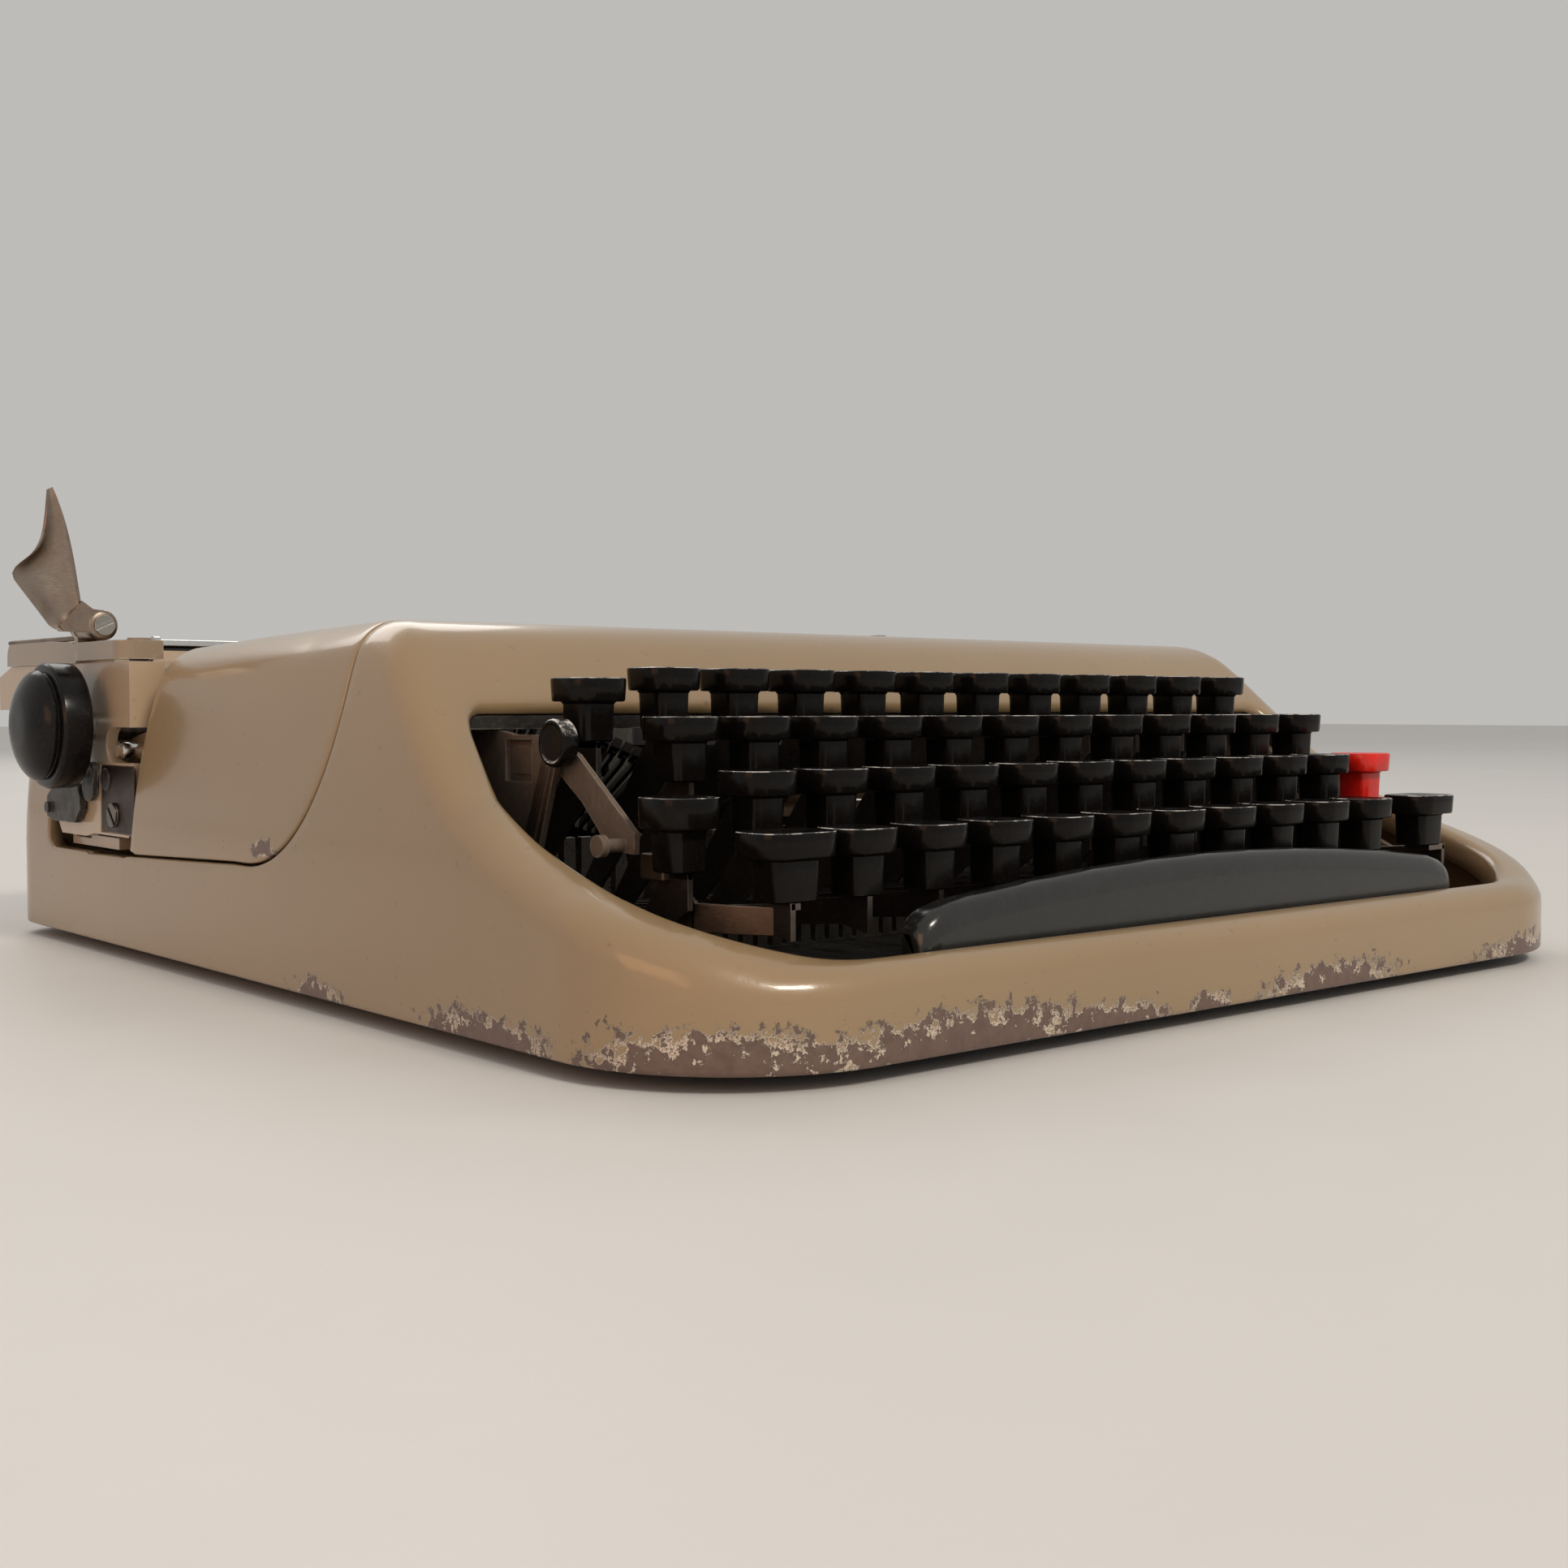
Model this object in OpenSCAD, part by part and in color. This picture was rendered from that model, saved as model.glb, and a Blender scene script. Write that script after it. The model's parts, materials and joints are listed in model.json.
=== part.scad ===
// Portable manual typewriter, built from the separate pieces that it comes apart into.
// Millimetres, +Z up, +X to the typist's right, +Y to the rear.
// The origin is on the table under the middle of the machine.
// Inside place(), y is measured from the front edge and z from the body's lower edge.

/* [Body] */
// Width of the painted body
body_w = 298; // [294:1:302]
// Depth of the painted body
body_d = 324; // [322:1:328]
// Radius of the front corners in plan
front_r = 40; // [30:1:46]
// Radius of the rear corners in plan
rear_r = 15; // [10:1:20]
// Thickness of the pressed body
wall = 2; // [1.5:0.1:2.4]
// Height of the rubber feet
foot_h = 3; // [2:0.5:5]
// Gap between the body and its ribbon cover
seam_gap = 0.5; // [0.3:0.1:0.8]

/* [Keyboard] */
// Distance between neighbouring keys of a row
key_pitch = 18.8; // [18.4:0.1:19.2]
// Width of a key top
key_w = 13.4; // [12.6:0.1:14]
// Thickness of a key top
key_t = 4.8; // [4:0.1:5.4]
// Height of the stem under a key top
stem_h = 8; // [7:0.5:9]
// Thickness of a key lever
lever_t = 1.2; // [1:0.1:1.4]
// Radius of the rod that the key levers turn on
fulcrum_r = 2.5; // [2:0.1:3]

/* [Type basket] */
// Number of typebars
bar_count = 44; // [40:1:44]
// Angle between neighbouring typebars
bar_step = 2.75; // [2.6:0.05:2.8]
// Distance from a typebar's pivot to its head
bar_l = 47; // [45:0.5:47]
// Thickness of a typebar
bar_t = 1.0; // [0.8:0.1:1.1]

/* [Carriage] */
// Radius of the rubber platen
platen_r = 15.5; // [15:0.1:16]
// Length of the rubber platen
platen_l = 262; // [256:1:264]
// Radius of the platen knobs
knob_r = 16.4; // [15:0.2:16.8]
// Radius of the platen shaft
shaft_r = 4; // [3:0.1:5]
// Radius of the paper bail's rollers
bail_roller_r = 6.4; // [6:0.1:6.6]

/* [Hidden] */

half_w = body_w / 2;
paint = "#9C8268";
keycap = "#141414";
dark = "#2B2A29";
steel = "#8D8A86";
cream = "#B7A48E";

// Depth and height of each key row's tops, from the number row to the bottom row
row_y = [80.5, 62.5, 44.5, 26.5];
row_z = [69.5, 59.5, 49.3, 39];
// First lever place and number of keys in each row; places are a quarter of the key pitch apart
row_first = [5, 3, 4, 6];
row_count = [11, 12, 11, 10];
place_step = key_pitch / 4;
place_0 = -118.6;
places = 50;
single_place = 24;
shift_place_l = 2;
shift_place_r = 49;
lock_place = 0;
margin_place = 1;
red_place = 48;
fulcrum = [228, 8];

// Platen axis, and the point on the platen where the type prints
platen_yz = [263, 56.5];
print_yz = [247, 57];
// Turn of a typebar from the printing point to its rest
bar_rest = 111;
segment_r = 50;

// Rear limit and floor of the space that the carriage sweeps
trough_rear = 293;
notch_z = 23;
// Top of the body behind the carriage
rear_wall_z = 59;
// Distance of each side frame from the middle
frame_x = 134;
// Rearmost point of the carriage, behind the body
reach_y = 338;

function place_x(k) = place_0 + place_step * k;
function bez(a, b, c, d, n) = [for (i = [0:n]) let (t = i / n, s = 1 - t)
    s * s * s * a + 3 * s * s * t * b + 3 * s * t * t * c + t * t * t * d];
function arc(cx, cy, rx, ry, from, to, n) = [for (i = [0:n]) let (a = from + (to - from) * i / n)
    [cx + rx * cos(a), cy + ry * sin(a)]];

// Moves a piece from the body's own measures to the origin on the table
module place() translate([0, -reach_y / 2, foot_h]) children();

// Extrudes a y-z outline along X, centred on x0
module slab(x0, t) translate([x0 - t / 2, 0, 0]) rotate([90, 0, 90]) linear_extrude(t) children();

// Rod along X
module rod_x(x0, l, y, z, r, f = 48)
    translate([x0 - l / 2, y, z]) rotate([0, 90, 0]) cylinder(h = l, r = r, $fn = f);

module box(x0, x1, y0, y1, z0, z1) translate([x0, y0, z0]) cube([x1 - x0, y1 - y0, z1 - z0]);

// ---------- Body ----------

// Side outline of the body, w inside its surface; the carriage trough is left out
function side_outline(w) = concat(
    [[body_d - w, w > 0 ? -1 : 0], [w, w > 0 ? -1 : 0]],
    bez([1.2 + w, 12 - w], [1.8 + w, 15.5 - w], [3 + w, 17.5 - w], [7 + w / 2, 17.5 - w], 4),
    bez([7.5 + w / 2, 17.8 - w], [26 + w / 2, 27 - w], [60 + w / 2, 31 - w],
        [84 + 0.8 * w, 51 - 0.7 * w], 10),
    bez([108 + 0.8 * w, 73.5 - 0.7 * w], [113 + w / 2, 78.2 - w], [119, 80 - w], [127, 80 - w], 5),
    [[154, 79.4 - w], [190, 78.2 - w], [225, 76.6 - w], [body_d - w, 76.6 - w]]);

// Front outline of the body: the sides lean in towards the top
function half_front(w) = concat(
    [[half_w - w, -2]],
    bez([half_w - w, 24], [half_w - 0.5 - w, 48], [half_w - 5 - w, 66], [half_w - 8 - w, 74 - w], 6),
    bez([half_w - 8 - w, 74.5 - w], [half_w - 9.5 - w, 78 - w], [half_w - 12 - w, 80 - w],
        [half_w - 19, 80.5 - w], 4));
function mirrored(pts) = [for (i = [len(pts) - 1:-1:0]) [-pts[i][0], pts[i][1]]];
function front_outline(w) = concat(half_front(w), mirrored(half_front(w)));

// Plan outline of the body
function half_plan(w) = concat(
    arc(half_w - front_r, front_r, front_r - w, front_r - w, -90, 0, 10),
    arc(half_w - rear_r, body_d - rear_r, rear_r - w, rear_r - w, 0, 90, 6));
function plan_outline(w) = concat(half_plan(w), mirrored(half_plan(w)));

module body_block(w) intersection() {
    translate([-160, 0, 0]) rotate([90, 0, 90]) linear_extrude(320) polygon(side_outline(w));
    translate([0, 340, 0]) rotate([90, 0, 0]) linear_extrude(350) polygon(front_outline(w));
    translate([0, 0, -1]) linear_extrude(84) polygon(plan_outline(w));
}

// Space that the carriage runs through, open at the top and at both sides
module trough() slab(0, 330) polygon([
    [229, 90], [229, 70], [235, notch_z], [trough_rear - 6, notch_z],
    [trough_rear - 1.5, notch_z + 2], [trough_rear, notch_z + 7],
    [trough_rear, rear_wall_z], [330, rear_wall_z], [330, 90]]);

// Opening that the keyboard stands in
half_opening = concat(
    arc(136 - 33, 8 + 33, 33, 33, -90, 0, 8),
    [[136, 66], [133.5, 84]], arc(127, 87.5, 5, 5, 10, 90, 3));
module keyboard_opening() translate([0, 0, -2]) linear_extrude(70)
    polygon(concat(half_opening, mirrored(half_opening)));

// Part of the body that the ribbon cover takes up, grown by g
module cover_zone(g) slab(0, 330) polygon(concat(
    [[250, 23.6 - g], [250, 95], [126 - g, 95]],
    arc(166, 66.5, 40 + g, 40 + g, 180, 270, 10), [[172, 26.3 - g]]));

// Rear opening of the ribbon cover, which the typebars swing through
module basket_window() translate([0, 0, 60]) linear_extrude(30) polygon(concat(
    [[66, 240]], arc(0, 196, 66, 42, 0, -180, 16), [[-66, 240]]));

module body_skin() difference() {
    body_block(0);
    body_block(wall);
    trough();
    keyboard_opening();
}

module body_shell() color(paint) place() difference() {
    body_skin();
    cover_zone(seam_gap);
    // The back wall's top edge is folded in, so the space under the fold stays open
    box(-140, 140, trough_rear - 1, 314, rear_wall_z - 10, rear_wall_z + 5);
}

module ribbon_cover() color(paint) place() difference() {
    intersection() {
        body_skin();
        cover_zone(0);
    }
    basket_window();
}

foot_xy = [for (x = [-118, 118], y = [32, 296]) [x, y]];

module base_plate() color(dark) place() difference() {
    translate([0, 0, 0.4]) linear_extrude(1.6) polygon(plan_outline(wall + 0.4));
    for (p = foot_xy) translate([p[0], p[1], -1]) cylinder(h = 5, r = 2.6, $fn = 32);
    for (x = [-80:20:80]) box(x - 6, x + 6, 150, 154, -1, 4);
}

module rubber_feet() color("#1B1B1B") place() for (p = foot_xy) translate([p[0], p[1], -foot_h])
    difference() {
        cylinder(h = foot_h + 0.4, r1 = 8.5, r2 = 9.5, $fn = 48);
        translate([0, 0, -1]) cylinder(h = 3.8, r = 5, $fn = 32);
        cylinder(h = 10, r = 2.6, $fn = 32);
    }

module base_screws() color(steel) place() for (p = foot_xy) translate([p[0], p[1], -1.4])
    difference() {
        union() {
            cylinder(h = 6.4, r = 2.5, $fn = 32);
            cylinder(h = 1.2, r = 4.6, $fn = 32);
        }
        box(-6, 6, -0.5, 0.5, -1, 0.6);
    }

// ---------- Frame ----------

module side_plate(x0) difference() {
    slab(x0, 2) polygon([
        [45, 2.1], [45, 20], [60, 27], [84, 43], [112, 68], [222, 68], [227, 21],
        [316, 21], [316, 2.1]]);
    // Recess, lightening holes and the rod's bores
    box(x0 - 2, x0 + 2, 70, 77.5, 30, 37.5);
    rod_x(x0, 6, 150, 40, 14);
    rod_x(x0, 6, 190, 44, 14);
    rod_x(x0, 6, fulcrum[0], fulcrum[1], fulcrum_r + 0.05);
    box(x0 - 2, x0 + 2, 250, 280, 5, 13);
}

// Inner plate beside the keys on the left: it carries the ribbon selector's pin and a stud
inner_x = -123.6;
selector_pivot = [90.6, 12];
stud_yz = [54.6, 35.6];
module inner_plate() {
    slab(inner_x, 1.2) difference() {
        polygon([[112, 56.5], [97, 56.5], [92, 55.8], [80, 55.8], [69.5, 52.2], [50.7, 38],
            [50.8, 34], [59.4, 34.4], [62.5, 38.1], [68, 43.2], [76, 48.5], [82, 42], [85, 30],
            [85, 2.1], [112, 2.1]]);
        translate([85.4, 46.4]) square([9.8, 8.4]);
    }
    box(-frame_x, inner_x, 96, 112, 2.1, 3.7);
    rod_x((inner_x - frame_x) / 2, frame_x + inner_x, selector_pivot[0], selector_pivot[1], 1.5, 32);
    rod_x(inner_x - 3, 6, stud_yz[0], stud_yz[1], 1.3, 32);
    rod_x(inner_x - 5.6, 1.6, stud_yz[0], stud_yz[1], 2.1, 32);
}

module side_frame_left() color("#5B5048") place() {
    side_plate(-frame_x);
    inner_plate();
}
module side_frame_right() color("#5B5048") place() side_plate(frame_x);

module front_cross_bar() color(dark) place() {
    slab(0, 2 * frame_x - 2) polygon([[97.5, 56.8], [103, 56.8], [103, 61.5], [97.5, 59.6]]);
}

// Comb that keeps the levers apart; each lever runs in its own slot
module key_comb() color(steel) place() translate([0, 121, 0]) rotate([90, 0, 0]) linear_extrude(2)
    difference() {
        polygon([[-132.8, 2.1], [132.8, 2.1], [132.8, 32], [-132.8, 32]]);
        for (k = [0:places - 1]) translate([place_x(k) - 0.85, 2.6]) square([1.7, 40]);
        translate([-128.5, 2.6]) square([5.5, 40]);
    }

module fulcrum_rod() color(steel) place() rod_x(0, 2 * frame_x + 6, fulcrum[0], fulcrum[1], fulcrum_r);

module carriage_rail() color(steel) place() {
    difference() {
        box(-frame_x + 1, frame_x - 1, 256, 268, 14, 23.4);
        box(-150, 150, 260, 264, 19, 30);
    }
    for (x = [-122, 122]) box(x - 6, x + 6, 256, 268, 2, 14);
}

// ---------- Type basket ----------

// The basket is drawn round an axis through the printing point, tilted 45 degrees forward and up.
// In this frame z is that axis, -y points down to the middle of the segment, and x is across.
module basket_frame() translate([0, print_yz[0], print_yz[1]]) rotate([45, 0, 0]) children();
middle_bar = 22;
fan_0 = -middle_bar * bar_step;
fan_sweep = 2 * middle_bar * bar_step + 6;

module type_segment() color(steel) place() basket_frame() {
    difference() {
        rotate([0, 0, -93 + fan_0]) rotate_extrude(angle = fan_sweep, $fn = 96)
            translate([segment_r - 4.5, -4]) square([9, 8]);
        for (i = [0:bar_count - 1]) rotate([0, 0, fan_0 + i * bar_step])
            translate([-0.65, -segment_r - 8, -2.5]) cube([1.3, 16, 10]);
    }
    // Wire that the typebars turn on
    rotate([0, 0, -93 + fan_0]) rotate_extrude(angle = fan_sweep, $fn = 96)
        translate([segment_r, 0]) circle(r = 0.7, $fn = 24);
}

// A typebar along +y with its pivot at the origin, and its slug on the side that meets the platen
module bar_shape() difference() {
    union() {
        slab(0, bar_t) polygon([[-1.8, -1.2], [-1, -1.9], [2, -1.9], [6, -1.2], [bar_l - 1, -1.2],
            [bar_l, 0.6], [bar_l - 2, 1.8], [6, 1.9], [1.5, 1.9], [-1.8, 1.2]]);
        box(-1.2, 1.2, bar_l - 4.2, bar_l + 0.2, -4, -1);
    }
    rod_x(0, 4, 0, 0, 0.85, 24);
}

module bar_at(i) rotate([0, 0, fan_0 + i * bar_step]) translate([0, -segment_r, 0])
    rotate([bar_rest, 0, 0]) bar_shape();

module typebars() color(steel) place() basket_frame()
    for (i = [0:bar_count - 1]) if (i != middle_bar) bar_at(i);

module single_typebar() color(steel) place() basket_frame() bar_at(middle_bar);

module type_guide() color(steel) place() difference() {
    union() {
        box(-9, 9, 238, 240, 2, 57);
        box(-16, 16, 236, 240, 2, 4);
    }
    box(-1.4, 1.4, 230, 245, 40, 60);
    rotate([90, 0, 0]) translate([0, 0, -245]) linear_extrude(10)
        polygon([[-1.4, 50], [1.4, 50], [5, 58], [-5, 58]]);
}

// Fork that carries the ribbon in front of the platen
module ribbon_vibrator() color(steel) place() difference() {
    union() {
        box(-14, 14, 243.2, 244.2, 30, 36);
        for (s = [-1, 1]) box(s * 12.5 - 1.5, s * 12.5 + 1.5, 243.2, 246.4, 30, 64);
    }
    for (s = [-1, 1]) box(s * 12.5 - 2, s * 12.5 + 2, 244.4, 245.6, 39, 63.2);
}

spool_xy = [100, 178];
ribbon_z = 49.5;
ribbon_h = 13;

// Cup round each spool, its bracket to the side frame and the post that leads the ribbon in
module spool_cups() color(dark) place() for (m = [0, 1]) mirror([m, 0, 0]) {
    translate([spool_xy[0], spool_xy[1], ribbon_z - 3]) difference() {
        union() {
            cylinder(h = 15, r = 25, $fn = 72);
            box(20, frame_x - 1.2 - spool_xy[0], -8, 8, 0, 1.4);
        }
        translate([0, 0, 1.4]) cylinder(h = 20, r = 23.8, $fn = 72);
        rotate([0, 0, 120]) translate([0, -6, 2.6]) cube([40, 22, 20]);
    }
    translate([0, 0, 43]) linear_extrude(2.2) polygon([[62, 228], [66.5, 228], [66.5, 223],
        [frame_x - 1.2, 223], [frame_x - 1.2, 213], [120, 213], [116, 220], [62, 220]]);
    translate([64, 225, 44]) cylinder(h = 20, r = 1.5, $fn = 24);
}

module spool(s) translate([s * spool_xy[0], spool_xy[1], 0]) difference() {
    union() {
        translate([0, 0, ribbon_z - 1]) cylinder(h = ribbon_h + 2, r = 9, $fn = 48);
        translate([0, 0, ribbon_z - 1.2]) cylinder(h = 0.9, r = 22.5, $fn = 72);
        translate([0, 0, ribbon_z + ribbon_h + 0.3]) cylinder(h = 0.9, r = 22.5, $fn = 72);
    }
    translate([0, 0, ribbon_z - 5]) cylinder(h = 30, r = 3, $fn = 32);
    for (a = [0:90:270]) rotate([0, 0, a]) translate([15, 0, ribbon_z + ribbon_h])
        cylinder(h = 4, r = 3, $fn = 24);
}
module spool_left() color(steel) place() spool(-1);
module spool_right() color(steel) place() spool(1);

// The ribbon's path from the front of the platen to the right winding; the other half is mirrored
ribbon_half = [[16, 245], [25, 234.6], [66, 226.5], [84.5, 179]];
ribbon_path = concat(mirrored(ribbon_half), ribbon_half);
ribbon_t = 0.3;
winding_r = 15.6;
module ribbon() color("#191716") place() translate([0, 0, ribbon_z]) linear_extrude(ribbon_h) {
    polygon(concat(ribbon_path, [for (i = [len(ribbon_path) - 1:-1:0])
        ribbon_path[i] + ribbon_t * [0.7 * sign(ribbon_path[i][0]), 1]]));
    for (s = [-1, 1]) translate([s * spool_xy[0], spool_xy[1]]) difference() {
        circle(r = winding_r, $fn = 72);
        circle(r = 9.2, $fn = 48);
    }
}

// ---------- Escapement and bell ----------

bell_place = [96, 305.5, 26];
module bell() color("#B9A46A") place() translate(bell_place) {
    difference() {
        cylinder(h = 9, r = 13, $fn = 64);
        translate([0, 0, -1]) cylinder(h = 8.8, r = 11.8, $fn = 64);
    }
    translate([0, 0, -24]) cylinder(h = 32, r = 2, $fn = 24);
}

// Escapement wheel with its pinion, and the drum of the spring that pulls the carriage
wheel_place = [0, 284, 8];
drum_place = [-98, 292, 6];
module escapement_wheel() color(steel) place() translate(wheel_place) difference() {
    union() {
        linear_extrude(1.6) {
            circle(r = 12, $fn = 64);
            for (a = [0:24:359]) rotate(a) polygon([[11, -2], [15, 0.4], [15, 1], [11, 1.6]]);
        }
        cylinder(h = 14, r = 6, $fn = 48);
    }
    translate([0, 0, -4]) cylinder(h = 30, r = 2.05, $fn = 32);
}

module mainspring_drum() color(steel) place() translate(drum_place) difference() {
    union() {
        cylinder(h = 12.2, r = 22, $fn = 72);
        for (z = [0, 11]) translate([0, 0, z]) cylinder(h = 1.2, r = 24, $fn = 72);
    }
    translate([0, 0, -2]) cylinder(h = 30, r = 3.05, $fn = 32);
}

// ---------- Keyboard ----------

// Rounded square of width w and depth d
module pad(w, d, r) polygon(concat(
    arc(w / 2 - r, d / 2 - r, r, r, 0, 90, 4), arc(-w / 2 + r, d / 2 - r, r, r, 90, 180, 4),
    arc(-w / 2 + r, -d / 2 + r, r, r, 180, 270, 4), arc(w / 2 - r, -d / 2 + r, r, r, 270, 360, 4)));

// Key top with a dished face and its stem; the face's height is z
module key_top(x, y, z, w = key_w, t = key_t) translate([x, y, z]) difference() {
    union() {
        translate([0, 0, -t]) linear_extrude(t) pad(w, key_w, 4.6);
        translate([0, 0, -t - stem_h]) linear_extrude(stem_h + 1) pad(w * 0.62, key_w * 0.62, 2);
    }
    translate([0, 0, 29.3]) sphere(r = 30, $fn = 96);
}

// Height of a lever's top edge behind its bend
function lever_z(y) = 9 + (206 - y) * 0.094;

// Lever from under the key at (y, z) to the eye on the rod
module lever(x, y, z) {
    foot = z - key_t - stem_h;
    bend = y + 3.5 + 0.8 * max(0, foot - lever_z(y + 12));
    color(steel) slab(x, lever_t) difference() {
        union() {
            polygon([[y - 3.5, foot], [y + 3.5, foot], [bend, lever_z(bend)], [206, 9], [222, 10],
                [222, 5], [206, 4.4], [bend - 1, lever_z(bend) - 5], [y - 3.5, foot - 7]]);
            translate(fulcrum) circle(r = 4.6, $fn = 32);
            translate([221, 5]) square([5, 5]);
        }
        translate(fulcrum) circle(r = fulcrum_r + 0.05, $fn = 64);
    }
}

function row_places(r) = [for (i = [0:row_count[r] - 1]) row_first[r] + 4 * i];
module keys_row(r) color(keycap) place()
    for (k = row_places(r)) if (k != single_place) key_top(place_x(k), row_y[r], row_z[r]);
module levers_row(r) color(steel) place()
    for (k = row_places(r)) if (k != single_place) lever(place_x(k), row_y[r], row_z[r]);

module keys_row_1() keys_row(0);
module keys_row_2() keys_row(1);
module keys_row_3() keys_row(2);
module keys_row_4() keys_row(3);
module levers_row_1() levers_row(0);
module levers_row_2() levers_row(1);
module levers_row_3() levers_row(2);
module levers_row_4() levers_row(3);

module single_key() color(keycap) place() key_top(place_x(single_place), row_y[2], row_z[2]);
module single_lever() color(steel) place() lever(place_x(single_place), row_y[2], row_z[2]);

// Key of one piece with its lever, for the keys that are not characters
module function_key(k, x, y, z, w = key_w, t = key_t) {
    key_top(x, y, z, w, t);
    translate([place_x(k) - lever_t / 2, y - 3.5, z - t - stem_h])
        mirror([x < place_x(k) ? 1 : 0, 0, 0]) cube([abs(x - place_x(k)) + 0.1, 7, 1.5]);
    lever(place_x(k), y, z + key_t - t);
}

shift_w = 17;
shift_x = -107.6;
// The left shift key also carries a bent arm, which runs back along the inner plate
module shift_key_left() color(keycap) place() {
    function_key(shift_place_l, shift_x, row_y[3], row_z[3], shift_w);
    slab(-116.4, 1) polygon([[56, 27], [52, 31.2], [50.6, 30.8], [42, 25.4], [42, 19.8], [48.8, 22]]);
    translate([0, 0, 19.8]) linear_extrude(5.4) polygon([[-116.9, 43], [-116.9, 41.8], [-113.4, 33.6],
        [-107.6, 24.4], [-106.8, 25.2], [-112.5, 34.2], [-115.9, 42.1], [-115.9, 43]]);
}
module shift_key_right() color(keycap) place()
    function_key(shift_place_r, 105.6, row_y[3], row_z[3], shift_w);
module shift_lock_key() color(keycap) place() {
    function_key(lock_place, place_0, row_y[2], 44.8, key_w, 5.9);
    box(place_0 - 2.2, place_0 + 0.5, 46.6, 53.8, 29, 34);
}
module red_key() color("#C3160B") place()
    function_key(red_place, place_x(red_place), row_y[2], row_z[2]);
module margin_release_key() color(keycap) place()
    function_key(margin_place, place_x(margin_place), row_y[0], 67.2);

bar_mid = 2;
bar_half = 91.5;
bar_arm = 83;
module space_bar() color(keycap) place() {
    intersection() {
        slab(bar_mid, 2 * bar_half) polygon(concat([[17.2, 14], [9.6, 14]],
            bez([9.4, 22], [9.4, 29], [10.5, 31], [13, 31], 4), [[17.2, 31]]));
        translate([bar_mid, 40, 0]) rotate([90, 0, 0]) linear_extrude(60) polygon(concat(
            [[-bar_half, 15], [-bar_half, 22]],
            [for (i = [-9:9]) [bar_half * i / 9.2, 24.4 + 6 * (1 - pow(i / 9.2, 2))]],
            [[bar_half, 22], [bar_half, 15]]));
    }
    for (x = [bar_mid - bar_arm, bar_mid + bar_arm]) box(x - 2, x + 2, 12, 15, 8, 15);
    rod_x(bar_mid, 2 * bar_arm + 4, 13.5, 9.2, 1.5, 24);
}

selector_top = [71.8, 54.4];
module ribbon_selector() color(dark) place() {
    slab(-126, 1.6) difference() {
        union() {
            polygon([[72.2, 52], [77.8, 52], [93.8, 12], [87.6, 12]]);
            translate(selector_pivot) circle(r = 4, $fn = 32);
        }
        translate(selector_pivot) circle(r = 1.55, $fn = 32);
    }
    difference() {
        rod_x(-126.9, 3.4, selector_top[0], selector_top[1], 4.7, 48);
        rod_x(-129.3, 2, selector_top[0], selector_top[1], 3.9, 48);
    }
}

// ---------- Carriage ----------

bail_pivot = [284, 66];
bail_rod = [255.6, 77.9];
ear_x = 130.5;
lever_pin = [-147, 82.7];
swing_xy = [-141.4, 244.5];
release_yz = [288.5, 34];
paper_pin = [276, 64];
selector_yz = [261.6, 40.6];
selector_pin = [259.6, 44.6];

end_x = 147.5;
module end_plate(s) difference() {
    union() {
        slab(s * (end_x - 1.5), 3) difference() {
            polygon([[235.8, 73], [235.8, 30], [238, 28], [262, 28], [268, 27], [286, 27], [290.5, 32],
                [290.5, 60.5], [337, 60.5], [337, 70], [326, 73]]);
            translate(platen_yz) circle(r = shaft_r + 0.05, $fn = 64);
            // Slot, open to the front, with a round rear end
            translate([248, 51.6]) circle(r = 4.6, $fn = 48);
            translate([230, 47]) square([18, 9.2]);
        }
        // Edges folded inwards at the front and at the top
        slab(s * (end_x - 4.6), 9.2) polygon([[235.8, 56.2], [237.8, 56.2], [237.8, 70.8], [290, 70.8],
            [290, 73], [235.8, 73]]);
    }
    // Shallow seat for the screwed plate under the slot
    slab(s * end_x, 1.8) polygon([[234, 28.6], [257, 28.6], [257, 46.4], [234, 46.4]]);
}

module carriage_frame() color(cream) place() difference() {
    union() {
        for (s = [-1, 1]) end_plate(s);
        box(-144.6, 144.6, 252, 272, 24, 27);
        box(-144.6, 144.6, 283, 286, 24, 58);
        box(-144.6, 144.6, 272, 284, 24, 26);
        for (s = [-1, 1]) slab(s * ear_x, 2) difference() {
            polygon([[281, 57], [286, 57], [286.5, 66], [286.5, 69], [281, 69]]);
            translate(bail_pivot) circle(r = 1.55, $fn = 32);
        }
        // Guide rod seen through each slot, and the web that holds it
        for (s = [-1, 1]) {
            rod_x(s * 141.6, 8, 250.2, 49.9, 1.5, 24);
            slab(s * 138, 1.4) polygon([[241, 26], [258, 26], [258, 53], [241, 56]]);
        }
    }
    rod_x(146, 8, paper_pin[0], paper_pin[1], 2.05, 32);
    rod_x(0, 320, release_yz[0], release_yz[1], 1.55, 32);
    rod_x(-146, 8, selector_yz[0], selector_yz[1], 2.05, 32);
    translate([swing_xy[0], swing_xy[1], 68]) cylinder(h = 10, r = 2.55, $fn = 32);
}

// Painted cap over each end of the carriage
module end_cap(s, front) slab(s * 143.2, 10.4) polygon(concat(
    [[front, 73.05]], bez([front, 76], [front, 78.4], [front + 2, 78.8], [front + 4, 78.8], 4),
    [[300, 79.8]], bez([318, 80.2], [323, 80.2], [327, 79.6], [327, 75.6], 5), [[327, 73.05]]));
module carriage_cap_left() color(cream) place() end_cap(-1, 271.2);
module carriage_cap_right() color(cream) place() end_cap(1, 236);

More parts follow.
